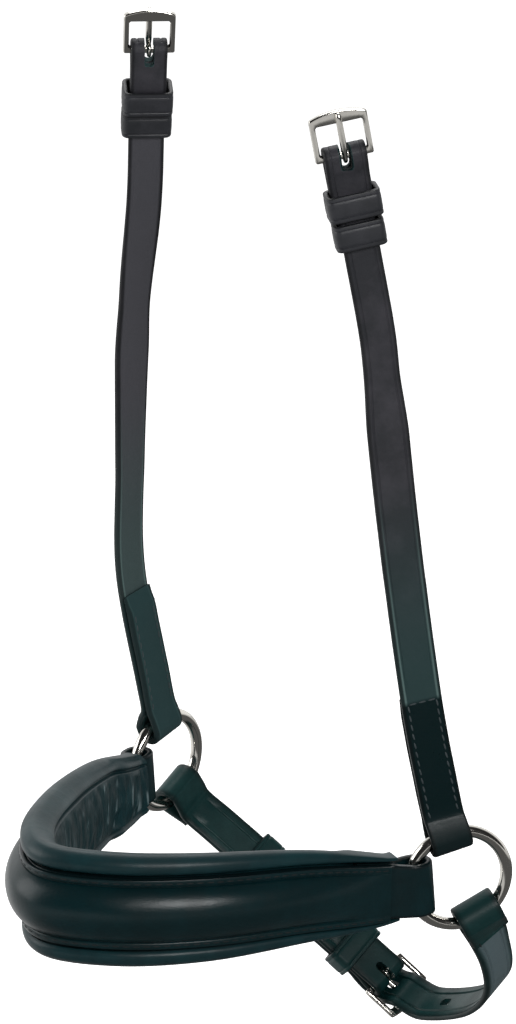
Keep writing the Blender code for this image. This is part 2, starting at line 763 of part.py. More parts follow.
class CheekStrap:
    """One cheek strap: turned round its ring, sewn back above it, and turned round a buckle's heel
    bar at the top, with a fixed and a running keeper below the buckle."""

    def __init__(self, side):
        self.side = side
        self.spine = self.make_spine()
        self.bar = self.spine.length
        self.pivot = make_pivot(f"cheek_{side}_pivot", ring_matrix(side))

    def make_spine(self):
        """Route from the ring's wire to the heel bar, turning from the ring's plane to the top's."""
        side = self.side
        angle = wire_angle(side, Vector(CHEEK_ROUTE[side][0]) * MM)
        wire = ring_centre(side) + RING_MEAN_RADIUS * ring_direction(side, angle)
        top = Vector(CHEEK_TOP[side]) * MM
        direction = Vector(CHEEK_TOP_DIRECTION[side]).normalized()
        straight = [top - direction * CHEEK_TOP_STRAIGHT * share for share in (1.0, 0.5, 0.0)]
        route = [wire, *(Vector(point) * MM for point in CHEEK_ROUTE[side]), *straight]
        edge = 1 if side == "left" else -1
        across = [edge * ring_direction(side, angle - math.pi / 2)]
        for point in route[1:]:
            share = (point.z - CHEEK_TURNS_FROM) / (CHEEK_TURNS_TO - CHEEK_TURNS_FROM)
            turn = blend(RING_TURN[side], CHEEK_TOP_TURN[side], share)
            across.append(edge * Vector((math.cos(turn), math.sin(turn), 0.0)))
        return Spine(route, across, False)

    def width(self, s):
        """The strap's width, which narrows towards the buckle and widens again at its heel bar."""
        narrowed = blend(CHEEK_WIDTH, CHEEK_TOP_WIDTH, (s - CHEEK_NARROWS_AT) / CHEEK_NARROWS_OVER)
        widens_at = self.bar - FIXED_KEEPER_FROM_BAR[self.side] - KEEPER_LENGTH / 2
        widens_by = CHAPE_WIDTH[self.side] - CHEEK_TOP_WIDTH
        return narrowed + blend(0.0, widens_by, (s - widens_at) / CHAPE_WIDENS_OVER)

    def strap_profile(self):
        """The strap's profile from the tail above the ring to the tail below the buckle."""
        tilt = loop_tilt(self.side, self.spine.at(0.0)[3])
        radius, middle = ring_loop(CHEEK_WIDTH, LOOP_SLACK, tilt)
        lower = turned_end(radius, middle, 0.0, -LAYER, CHEEK_TURN_IN, STRAP_THICKNESS)
        upper = chape_profile(self.bar, FIXED_KEEPER_FROM_BAR[self.side])
        run = [(s, 0.0) for s in spread(lower[-1][0], upper[0][0], 11 * MM)]
        return lower + run + upper

    def make(self):
        """The strap, its two keepers and its buckle."""
        side = self.side
        strap = ribbon(
            f"cheek_strap_{side}",
            self.spine,
            self.strap_profile(),
            "strap",
            self.width,
            STRAP_THICKNESS,
            self.pivot,
        )
        cut_tongue_slot(strap, f"tongue_slot_{side}", self.spine, self.bar)
        high = STRAP_THICKNESS / 2 + BILLET_ROOM
        fixed_at = self.bar - FIXED_KEEPER_FROM_BAR[side]
        low = -STRAP_THICKNESS / 2 - LAYER - SEAM
        width = CHEEK_TOP_WIDTH
        fixed_width = (width + CHAPE_WIDTH[side]) / 2
        make_keeper(f"fixed_keeper_{side}", self.spine, fixed_at, fixed_width, low, high, self.pivot)
        running_at = fixed_at - KEEPER_LENGTH - KEEPER_GAP
        runner = make_pivot(f"running_keeper_{side}_pivot", self.spine.frame(running_at), self.pivot)
        low = -STRAP_THICKNESS / 2 - SLIDE
        make_keeper(f"running_keeper_{side}", self.spine, running_at, width, low, high, runner)
        matrix = buckle_matrix(self.spine, self.bar)
        bar = make_pivot(f"cheek_buckle_{side}_pivot", matrix, self.pivot)
        buckle = Buckle(CHAPE_WIDTH[side], CHEEK_BUCKLE_LENGTH)
        buckle.make_frame(f"cheek_buckle_{side}", matrix, bar)
        buckle.make_prong(f"cheek_prong_{side}", matrix, make_pivot(f"cheek_prong_{side}_pivot", matrix, bar))


# Chin strap


def chin_point(y, down):
    """A point of the sloping plane of the chin strap."""
    return Vector((-math.cos(CHIN_SLOPE) * down, y, -math.sin(CHIN_SLOPE) * down))


class ChinStrap:
    """The chin strap: a buckle strap from the right ring and a billet from the left ring, fastened
    to each other under the jaw. The two share one route."""

    def __init__(self):
        inner = [chin_point(y * MM, d * MM) for y, d in CHIN_ROUTE]
        ends = {}
        edges = {}
        for side, target in (("right", inner[0]), ("left", inner[-1])):
            angle = wire_angle(side, target)
            ends[side] = ring_centre(side) + RING_MEAN_RADIUS * ring_direction(side, angle)
            edges[side] = ring_direction(side, angle + math.pi / 2)
        route = [ends["right"], *inner, ends["left"]]
        middle = Vector((math.sin(CHIN_SLOPE), 0.0, -math.cos(CHIN_SLOPE)))
        across = [edges["right"], *[middle] * len(inner), edges["left"]]
        self.spine = Spine(route, across, True)
        self.length = self.spine.length
        self.bar = CHIN_BAR_AT
        self.buckle = Buckle(STRAP_WIDTH, CHIN_BUCKLE_LENGTH)
        self.pivot = make_pivot("chin_strap_pivot", Matrix.Identity(4))

    def loop(self, side, direction):
        """Profile of a loop round a ring, its tail sewn on outside the strap."""
        tilt = loop_tilt(side, direction)
        radius, middle = ring_loop(STRAP_WIDTH, CHIN_LOOP_SLACK, tilt)
        return turned_end(radius, middle, 0.0, LAYER, CHIN_TURN_IN, STRAP_THICKNESS)

    def strap_profile(self):
        """The buckle strap's profile, from its loop on the right ring to its chape."""
        lower = self.loop("right", self.spine.at(0.0)[3])
        upper = chape_profile(self.bar, FIXED_KEEPER_FROM_BAR["chin"])
        run = [(s, 0.0) for s in spread(lower[-1][0], upper[0][0], 11 * MM)]
        return lower + run + upper

    def billet_profile(self):
        """The billet's profile, from its loop on the left ring, under the buckle's front bar, over
        the heel bar and along the outside of the buckle strap to its tip."""
        loop = self.loop("left", -self.spine.at(self.length)[3])
        front = self.buckle.front_inside + BUCKLE_FRONT / 2
        below = front * math.sin(CHIN_BUCKLE_TILT) - BUCKLE_THICKNESS / 2 - SEAM - STRAP_THICKNESS / 2
        over = HEEL_BAR / 2 + HEEL_SLACK + SEAM + 1.5 * STRAP_THICKNESS
        way = [
            (self.bar + front + 9 * MM, 0.0),
            (self.bar + front + 2.5 * MM, min(0.0, below)),
            (self.bar + front - 2.5 * MM, min(0.1 * MM, below)),
            (self.bar + 5.4 * MM, over * 0.62),
            (self.bar + 2.2 * MM, over * 0.97),
            (self.bar - 2.4 * MM, over),
            (self.bar - 6.5 * MM, (over + LAYER) / 2),
            (self.bar - 10.5 * MM, LAYER),
        ]
        tip = self.bar - CHIN_TAIL
        start = self.length - loop[-1][0]
        run = [(s, 0.0) for s in spread(start, way[0][0], 9 * MM)]
        tail = [(s, LAYER) for s in spread(way[-1][0], tip + CHIN_TIP, 11 * MM)]
        point = [(tip + CHIN_TIP * share, LAYER) for share in (1.0, 0.7, 0.45, 0.25, 0.1, 0.0)]
        return [(self.length - s, n) for s, n in loop] + run + way + tail + point

    def billet_width(self, s):
        """Width of the billet, drawn in to a point at its tip."""
        share = min(max((s - self.bar + CHIN_TAIL) / CHIN_TIP, 0.0), 1.0)
        return STRAP_WIDTH * (0.28 + 0.72 * math.sqrt(1 - (1 - share) ** 2))

    def cut_holes(self, billet):
        """Punches the billet's oblong holes, one of them on the prong."""
        for i in range(-HOLES_EACH_WAY, HOLES_EACH_WAY + 1):
            s = self.bar + HOLE_FROM_BAR + i * HOLE_SPACING
            name = f"billet_hole_{i + HOLES_EACH_WAY + 1}"
            outline = stadium(HOLE_WIDTH, -HOLE_LENGTH / 2, HOLE_LENGTH / 2)
            mesh = mesh_from_curve_data(name, flat_curve(name, [outline], 5.5 * MM))
            height = LAYER if i < 0 else 0.0
            if i == 0:
                height = 3.1 * MM
            cut(billet, add_cutter(name, mesh, buckle_matrix(self.spine, s) @ Matrix.Translation((0, 0, height))))

    def make(self):
        """Both straps, the buckle and the two keepers."""
        strap = ribbon(
            "chin_strap", self.spine, self.strap_profile(), "leather", STRAP_WIDTH, STRAP_THICKNESS, self.pivot
        )
        cut_tongue_slot(strap, "tongue_slot_chin", self.spine, self.bar)
        billet = ribbon(
            "chin_billet",
            self.spine,
            self.billet_profile(),
            "leather",
            self.billet_width,
            STRAP_THICKNESS,
            self.pivot,
        )
        self.cut_holes(billet)
        high = STRAP_THICKNESS / 2 + BILLET_ROOM
        low = -STRAP_THICKNESS / 2 - LAYER - SEAM
        fixed_at = self.bar - FIXED_KEEPER_FROM_BAR["chin"]
        width = STRAP_WIDTH
        make_keeper("chin_fixed_keeper", self.spine, fixed_at, width, low, high, self.pivot, "leather")
        low = -STRAP_THICKNESS / 2 - SLIDE
        running_at = CHIN_RUNNING_KEEPER_AT
        runner = make_pivot("chin_running_keeper_pivot", self.spine.frame(running_at), self.pivot)
        high += SLIDE
        make_keeper("chin_running_keeper", self.spine, running_at, width, low, high, runner, "leather")
        matrix = buckle_matrix(self.spine, self.bar, CHIN_BUCKLE_TILT)
        self.buckle.make_frame("chin_buckle", matrix, self.pivot)
        self.buckle.make_prong("chin_prong", matrix, self.pivot)


def main():
    """Builds every piece."""
    for side in ("left", "right"):
        make_ring(side)
    Noseband().make()
    for side in ("left", "right"):
        CheekStrap(side).make()
    ChinStrap().make()


main()
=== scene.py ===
"""Looks of a padded anatomic noseband: black leather, stitching, polished rings and buckles.

Every strap follows a Route, a smooth line through the same points as the solid part's, which also
carries the direction across the strap. A strap's Profile is its run beside that route, with the
folds round rings and bars. Sweep extrudes a cut outline of the leather along a profile. World axes:
+X forward along the nose, +Y to the horse's left, +Z up, origin midway between the two rings.
"""

from __future__ import annotations

import logging
import math
from dataclasses import dataclass, field, replace
from enum import Enum
from typing import Callable, Sequence

import bmesh
import bpy
from mathutils import Matrix, Vector, noise

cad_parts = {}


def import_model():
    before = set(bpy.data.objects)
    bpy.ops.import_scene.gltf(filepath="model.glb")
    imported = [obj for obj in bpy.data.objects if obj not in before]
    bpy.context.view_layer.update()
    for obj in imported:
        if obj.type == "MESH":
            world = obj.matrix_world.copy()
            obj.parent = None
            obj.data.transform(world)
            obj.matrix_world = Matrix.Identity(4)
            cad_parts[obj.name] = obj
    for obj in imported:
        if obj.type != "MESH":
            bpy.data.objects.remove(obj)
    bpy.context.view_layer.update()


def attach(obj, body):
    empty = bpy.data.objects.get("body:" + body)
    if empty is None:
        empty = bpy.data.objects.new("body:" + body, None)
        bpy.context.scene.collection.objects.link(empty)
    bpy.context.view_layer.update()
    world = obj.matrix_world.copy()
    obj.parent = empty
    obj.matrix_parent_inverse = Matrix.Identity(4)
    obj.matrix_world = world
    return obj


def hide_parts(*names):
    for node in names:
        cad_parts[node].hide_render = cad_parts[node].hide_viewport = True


MM = 0.001
ARC_STEPS = 8  # in each half turn of a strap's edge or fold
LOG = logging.getLogger("noseband")

Point2 = tuple[float, float]


class Side(Enum):
    """Side of the horse."""

    LEFT = "left"
    RIGHT = "right"

    @property
    def sign(self) -> int:
        """+1 on the left, where +Y points, and -1 on the right."""
        return 1 if self is Side.LEFT else -1


def ease(start: float, end: float, share: float) -> float:
    """Value between start, at 0, and end, at 1, that leaves and arrives gently."""
    share = min(max(share, 0.0), 1.0)
    return start + (end - start) * share * share * (3 - 2 * share)


def smooth_line(values: Sequence[Vector], steps: int, closed: bool = False) -> list[Vector]:
    """Runs a smooth curve through points.

    Args:
        values: the points, in order.
        steps: steps in each span.
        closed: whether the curve comes back to its first point.

    Returns:
        The points of the curve, the given ones among them.
    """
    if closed:
        knots = [values[-1], *values, values[0], values[1]]
    else:
        knots = [2 * values[0] - values[1], *values, 2 * values[-1] - values[-2]]
    points = []
    for a, b, c, d in zip(knots, knots[1:], knots[2:], knots[3:]):
        for i in range(steps):
            t = i / steps
            bend = (2 * a - 5 * b + 4 * c - d) * t**2 + (3 * b - a - 3 * c + d) * t**3
            points.append(0.5 * (2 * b + (c - a) * t + bend))
    return points if closed else points + [values[-1].copy()]


@dataclass(frozen=True)
class Station:
    """A place on a route: a point and three directions, along, across and outwards."""

    point: Vector
    across: Vector
    normal: Vector
    along: Vector


class Route:
    """A smooth way for a strap, with its direction across. Near an end that is turned round a ring,
    the strap lies along the ring's wire, and elsewhere it is square to its way."""

    STEPS = 16
    WIRE_EASE = 16 * MM

    def __init__(self, points: Sequence[Vector], across: Sequence[Vector], wire_at_end: bool) -> None:
        self.points = smooth_line(points, self.STEPS)
        self.across = smooth_line(across, self.STEPS)
        self.wire_at_end = wire_at_end
        self.lengths = [0.0]
        for a, b in zip(self.points, self.points[1:]):
            self.lengths.append(self.lengths[-1] + (b - a).length)
        self.length = self.lengths[-1]

    def direction(self, i: int) -> Vector:
        """Direction of the route at its i-th point."""
        return (self.points[min(i + 1, len(self.points) - 1)] - self.points[max(i - 1, 0)]).normalized()

    def at(self, s: float) -> Station:
        """Finds the place at a distance along the route, straight on past either end.

        Args:
            s: distance from the start, in metres.

        Returns:
            The station there.
        """
        inside = min(max(s, 0.0), self.length)
        last = len(self.lengths) - 1
        i = next(k for k in range(1, last + 1) if inside <= self.lengths[k] or k == last)
        share = (inside - self.lengths[i - 1]) / (self.lengths[i] - self.lengths[i - 1])
        along = self.direction(i - 1).lerp(self.direction(i), share).normalized()
        point = self.points[i - 1].lerp(self.points[i], share) + along * (s - inside)
        across = self.across[i - 1].lerp(self.across[i], share)
        from_wire = min(inside, self.length - inside) if self.wire_at_end else inside
        square = ease(0.0, 1.0, from_wire / self.WIRE_EASE)
        across = (across - square * across.dot(along) * along).normalized()
        return Station(point, across, along.cross(across).normalized(), along)

    def frame(self, s: float, out: float = 0.0) -> Matrix:
        """Matrix whose X is across the strap, Y outwards and Z along it."""
        place = self.at(s)
        matrix = Matrix((place.normal.cross(place.along), place.normal, place.along)).transposed().to_4x4()
        matrix.translation = place.point + place.normal * out
        return matrix


# Meshes


def point_outwards(bm: bmesh.types.BMesh) -> None:
    """Turns the faces of a closed mesh outwards, a folded strap's too."""
    bmesh.ops.recalc_face_normals(bm, faces=bm.faces)
    if all(edge.is_manifold for edge in bm.edges) and bm.calc_volume(signed=True) < 0:
        bmesh.ops.reverse_faces(bm, faces=bm.faces)


def new_piece(name: str, bm: bmesh.types.BMesh, sharp: float = 35.0) -> bpy.types.Object:
    """Turns a bmesh into an object of the scene and frees it.

    Args:
        name: name of the piece.
        bm: its mesh, in world coordinates.
        sharp: edges with a greater angle than this, in degrees, stay sharp.

    Returns:
        The object, at the origin.
    """
    point_outwards(bm)
    mesh = bpy.data.meshes.new(name)
    bm.to_mesh(mesh)
    bm.free()
    mesh.shade_smooth()
    mesh.set_sharp_from_angle(angle=math.radians(sharp))
    piece = bpy.data.objects.new(name, mesh)
    bpy.context.scene.collection.objects.link(piece)
    return piece


@dataclass
class Cut:
    """The outline of a strap cut across at one place, and what its points are for the finish."""

    points: list[Vector]
    across: list[float]
    along: float
    edge: list[float]
    flesh: Sequence[float] = ()


class Sweep:
    """Extrudes an outline from place to place along a strap, and notes on each point how far along
    and across the strap it lies, in millimetres, how near the strap's cut edge, from 0 to 1, and
    whether it lies on the hide's flesh side."""

    def __init__(self) -> None:
        self.bm = bmesh.new()
        keys = ("along", "across", "edge", "flesh")
        self.layers = {key: self.bm.verts.layers.float.new(key) for key in keys}

    def run(self, cuts: Sequence[Cut], closed: bool = False) -> bmesh.types.BMesh:
        """Extrudes the first cut's outline through the others.

        Args:
            cuts: the outline at each place, each with as many points.
            closed: whether the last place joins the first, as round a keeper.

        Returns:
            The mesh, with its two ends filled if it isn't closed.
        """
        verts = [self.bm.verts.new(point) for point in cuts[0].points]
        edges = [self.bm.edges.new(pair) for pair in zip(verts, verts[1:] + verts[:1])]
        self.note(verts, cuts[0])
        first = list(edges)
        for cut in cuts[1:]:
            made = bmesh.ops.extrude_edge_only(self.bm, edges=edges)["geom"]
            fresh = {item for item in made if isinstance(item, bmesh.types.BMVert)}
            verts = [next(e.other_vert(v) for e in v.link_edges if e.other_vert(v) in fresh) for v in verts]
            for vert, point in zip(verts, cut.points):
                vert.co = point
            self.note(verts, cut)
            pairs = zip(verts, verts[1:] + verts[:1])
            edges = [self.bm.edges.get(pair) for pair in pairs]
        if closed:
            bmesh.ops.bridge_loops(self.bm, edges=first + edges)
        else:
            for rim in (first, edges):
                bmesh.ops.contextual_create(self.bm, geom=rim)
        return self.bm

    def note(self, verts: Sequence[bmesh.types.BMVert], cut: Cut) -> None:
        """Writes a cut's values on its points."""
        sides = cut.flesh or [0.0] * len(verts)
        for vert, across, edge, flesh in zip(verts, cut.across, cut.edge, sides):
            vert[self.layers["along"]] = cut.along / MM
            vert[self.layers["across"]] = across / MM
            vert[self.layers["edge"]] = edge
            vert[self.layers["flesh"]] = flesh


@dataclass(frozen=True)
class StrapLeather:
    """A strap's thickness, the rounding of its edges and the creases pressed along them."""

    thickness: float = 2.2 * MM
    rounding: float = 0.8 * MM
    crease_inset: float = 2.1 * MM
    crease_width: float = 0.9 * MM
    crease_depth: float = 0.25 * MM
    crease_behind: float = 0.3  # share of the creases' depth that shows on the flesh side

    NEARNESS = (0.35, 0.2, 0.1, 0.05, 0.0, 0.0)  # to the cut edge, of a face's points from the edge inwards
    CREASE = (  # a crease's points, in widths inwards from its middle, and their share of its depth
        (-0.5, 0.0),
        (-0.22, 0.75),
        (0.0, 1.0),
        (0.22, 0.75),
        (0.5, 0.0),
        (2.5, 0.0),
    )

    def outline(self, width: float, crease: float) -> tuple[list[Point2], list[float], list[float]]:
        """Cuts the strap across.

        Args:
            width: width of the strap.
            crease: share of the creases' full depth, 0 for none.

        Returns:
            The outline as (across, outwards) points, creased on both faces, each one's nearness
            to the cut edge, and 1 for each one on the flesh side.
        """
        half, top = width / 2, self.thickness / 2
        radius = min(self.rounding, top * 0.95)
        count = len(self.CREASE)
        points: list[Point2] = []
        edge: list[float] = []
        flesh: list[float] = []
        for side in (1, -1):
            corner = []
            for i in range(ARC_STEPS + 1):
                angle = math.radians(180 / ARC_STEPS * i - 90)
                lift = math.sin(angle)
                rise = (top - radius) * (1 if lift > 0 else -1 if lift < 0 else 0)
                corner.append((side * (half - radius + radius * math.cos(angle)), rise + radius * lift))
            face = []
            for x, depth in self.CREASE:
                across = half - self.crease_inset - x * self.crease_width
                face.append((side * across, top - depth * self.crease_depth * crease))
            back = [(x, (top - y) * self.crease_behind - top) for x, y in reversed(face)]
            near = [*reversed(self.NEARNESS), *[1.0] * len(corner), *self.NEARNESS]
            hide = [1.0] * count + [0.0] * (len(corner) + count)
            points += (back + corner + face)[::side]
            edge += near[::side]
            flesh += hide[::side]
        return points, edge, flesh


@dataclass
class Profile:
    """The run of a strap beside its route, as points (distance along, distance outwards)."""

    points: list[Point2]

    def smoothed(self) -> list[Vector]:
        """The run as a smooth curve."""
        return smooth_line([Vector((s, n, 0.0)) for s, n in self.points], PROFILE_STEPS)


RUN_STEP = 11 * MM  # between the points of a strap's straight run
CURVED_RUN_STEP = 9 * MM
TAIL_STEP = 12 * MM
PROFILE_STEPS = 4  # smooth steps between two of those points
LIES_FLAT_FROM = 8 * MM  # distance from a wire or bar where a fold's two layers lie flat again
CREASE_FADES = 3 * MM
SKIVED_TO = 0.22  # share of the leather's thickness left at a pared end
EDGE_WEAR = 0.06 * MM  # how far a strap's edge wanders, and over what length
EDGE_WEAR_LENGTH = 9 * MM
TURNING = 0.05  # slope of a strap's run from which it counts as turning round a wire or bar
END_SHARE = 0.82  # size of the last outline, past a cut end, that rounds it, and how far past
END_BULGE = 0.3 * MM


def sweep_strap(
    name: str,
    route: Route,
    profile: Profile,
    leather: StrapLeather,
    width: Callable[[float], float],
    crease: Callable[[float, float], float],
    skived: float = 0.0,
) -> bpy.types.Object:
    """Makes a strap that follows a profile, folds included.

    Args:
        name: name of the piece.
        route: way of the strap.
        profile: its run beside the route.
        leather: its thickness and edges.
        width: its width at a distance along the route.
        crease: share of the creases' depth at a distance along the route and out from it.
        skived: length over which both turned-in ends are pared down to lie flat.

    Returns:
        The strap.
    """
    line = profile.smoothed()
    total = sum((b - a).length for a, b in zip(line, line[1:]))
    half = leather.thickness / 2
    cuts = []
    gone = 0.0
    for i, here in enumerate(line):
        before, after = line[max(i - 1, 0)], line[min(i + 1, len(line) - 1)]
        run = (after - before).normalized()
        if i:
            gone += (here - line[i - 1]).length
        place = route.at(here.x)
        points, edge, flesh = leather.outline(width(here.x), crease(here.x, here.y))
        if skived and min(gone, total - gone) < skived:
            left = ease(SKIVED_TO, 1.0, min(gone, total - gone) / skived)
            points = [(x, (y + half) * left - half) for x, y in points]
        worn = EDGE_WEAR * noise.noise(Vector((gone / EDGE_WEAR_LENGTH, width(here.x) * 300, 0.0)))
        world = []
        for x, y in points:
            shift_along, out = -y * run.y, y * run.x
            x += worn if abs(x) > 0.4 * width(here.x) else 0.0
            turned = route.at(here.x + shift_along) if abs(run.y) > TURNING else place
            beyond = 0.0 if abs(run.y) > TURNING else shift_along
            spot = turned.point + turned.along * beyond
            world.append(spot + turned.normal * (here.y + out) + turned.across * x)
        cuts.append(Cut(world, [x for x, _ in points], gone, edge, flesh))
    for end, inner in ((0, 1), (-1, -2)):
        cut = cuts[end]
        centre = sum(cut.points, Vector()) / len(cut.points)
        out = (centre - sum(cuts[inner].points, Vector()) / len(cut.points)).normalized()
        tip = [centre + (point - centre) * END_SHARE + out * END_BULGE for point in cut.points]
        rounded = Cut(tip, cut.across, cut.along, [1.0] * len(tip))
        cuts.insert(0 if end == 0 else len(cuts), rounded)
    return new_piece(name, Sweep().run(cuts))


def spread(start: float, end: float, step: float) -> list[float]:
    """Even distances from start to end, about a step apart, both ends left out."""
    count = max(1, round(abs(end - start) / step))
    return [start + (end - start) * i / count for i in range(1, count)]


def turned_end(
    radius: float, middle: Point2, tail: float, tail_length: float, thickness: float
) -> list[Point2]:
    """Runs a strap's end round a wire or bar and back.

    Args:
        radius: radius of the hollow in the fold.
        middle: the hollow's centre, as (distance along, outwards).
        tail: the turned-in layer's distance outwards from the main layer, which is on the route.
        tail_length: how far along the route the turned-in layer ends.
        thickness: thickness of the leather.

    Returns:
        The run from the tail's cut end round the fold to the main layer.
    """
    side = 1 if tail < 0 else -1
    reach = radius + thickness / 2
    s, n = middle
    points = [(tail_length, tail)]
    points += [(at, tail) for at in spread(tail_length, LIES_FLAT_FROM, TAIL_STEP)]
    points += [(LIES_FLAT_FROM, tail), (LIES_FLAT_FROM / 2, (tail + n - side * reach) / 2)]
    if s < 0:
        points.append((0.0, n - side * reach))
    for i in range(ARC_STEPS + 1):
        angle = math.radians(-90 - 180 / ARC_STEPS * i)
        points.append((s + reach * math.cos(angle), n + side * reach * math.sin(angle)))
    if s < 0:
        points.append((0.0, n + side * reach))
    return points + [(LIES_FLAT_FROM / 2, (n + side * reach) / 2), (LIES_FLAT_FROM, 0.0)]


def punch(
    piece: bpy.types.Object, matrix: Matrix, width: float, low: float, high: float, depth: float
) -> None:
    """Cuts a slot with round ends through a piece.

    Args:
        piece: the piece, whose mesh is changed.
        matrix: place of the slot, with Y along it and Z through the piece.
        width: width of the slot.
        low: its lower end, along Y.
        high: its upper end.
        depth: length of the cut, half of it each way.
    """
    bm = bmesh.new()
    bmesh.ops.create_circle(bm, cap_ends=True, segments=20, radius=width / 2)
    for vert in bm.verts:
        vert.co.y += high - width / 2 if vert.co.y > 1e-7 else low + width / 2
        vert.co.z = -depth / 2
    made = bmesh.ops.extrude_face_region(bm, geom=list(bm.faces))["geom"]
    lifted = [item for item in made if isinstance(item, bmesh.types.BMVert)]
    bmesh.ops.translate(bm, verts=lifted, vec=(0.0, 0.0, depth))
    bmesh.ops.transform(bm, matrix=matrix, verts=bm.verts)
    cutter = new_piece(piece.name + "_punch", bm)
    modifier = piece.modifiers.new("punch", "BOOLEAN")
    modifier.operation = "DIFFERENCE"
    modifier.solver = "MANIFOLD"
    modifier.object = cutter
    graph = bpy.context.evaluated_depsgraph_get()
    mesh = bpy.data.meshes.new_from_object(piece.evaluated_get(graph))
    piece.modifiers.clear()
    piece.data = mesh
    mesh.set_sharp_from_angle(angle=math.radians(35))
    bpy.data.objects.remove(cutter, do_unlink=True)


@dataclass(frozen=True)
class Stitching:
    """A row of saddle stitches."""

    pitch: float = 3.3 * MM
    length: float = 2.5 * MM
    thread: float = 0.62 * MM
    slant: float = math.radians(7.0)

    def row(self, bm: bmesh.types.BMesh, places: Sequence[Matrix]) -> None:
        """Adds one stitch at each place.

        Args:
            bm: mesh that the stitches go into.
            places: a matrix for each stitch, with Z along the seam and Y out of the leather.
        """
        size = Matrix.Diagonal((self.thread, self.thread * 0.7, self.length, 1.0))
        for matrix in places:
            bmesh.ops.create_uvsphere(bm, u_segments=8, v_segments=5, radius=0.5, matrix=matrix @ size)

    def along(self, route: Route, start: float, end: float, out: float, across: float) -> list[Matrix]:
        """Places for a row along a strap.

        Args:
            route: way of the strap.
            start: where the row starts, along the route.
            end: where it ends.
            out: distance of the leather's face outwards from the route.
            across: distance of the row across the strap.

        Returns:
            A matrix for each stitch.
        """
        count = max(1, round((end - start) / self.pitch))
        slanted = Matrix.Translation((across, 0.0, 0.0)) @ Matrix.Rotation(self.slant, 4, "Y")
        return [route.frame(start + (end - start) * (i + 0.5) / count, out) @ slanted for i in range(count)]


# Finishes


def linear(colour: str) -> tuple[float, float, float, float]:
    """Linear RGBA of an sRGB hex colour such as #1a2b3c."""
    parts = [int(colour[i : i + 2], 16) / 255 for i in (1, 3, 5)]
    red, green, blue = (c / 12.92 if c <= 0.04045 else ((c + 0.055) / 1.055) ** 2.4 for c in parts)
    return red, green, blue, 1.0


def add_node(
    tree: bpy.types.NodeTree, kind: str, sockets: dict | None = None, **settings: object
) -> bpy.types.Node:
    """Adds a node to a tree.

    Args:
        tree: the material's node tree.
        kind: the node's type.
        sockets: for each input's name or number, a value or the output that feeds it.
        settings: properties of the node.

    Returns:
        The node.
    """
    node = tree.nodes.new(kind)
    for name, value in settings.items():
        setattr(node, name, value)
    for name, value in (sockets or {}).items():
        socket = node.inputs[name]
        if isinstance(value, bpy.types.NodeSocket):
            tree.links.new(value, socket)
        else:
            socket.default_value = value
    return node


def new_material(name: str) -> tuple[bpy.types.Material, bpy.types.NodeTree]:
    """An empty node material and its tree."""
    material = bpy.data.materials.new(name)
    material.use_nodes = True
    material.node_tree.nodes.clear()
    return material, material.node_tree


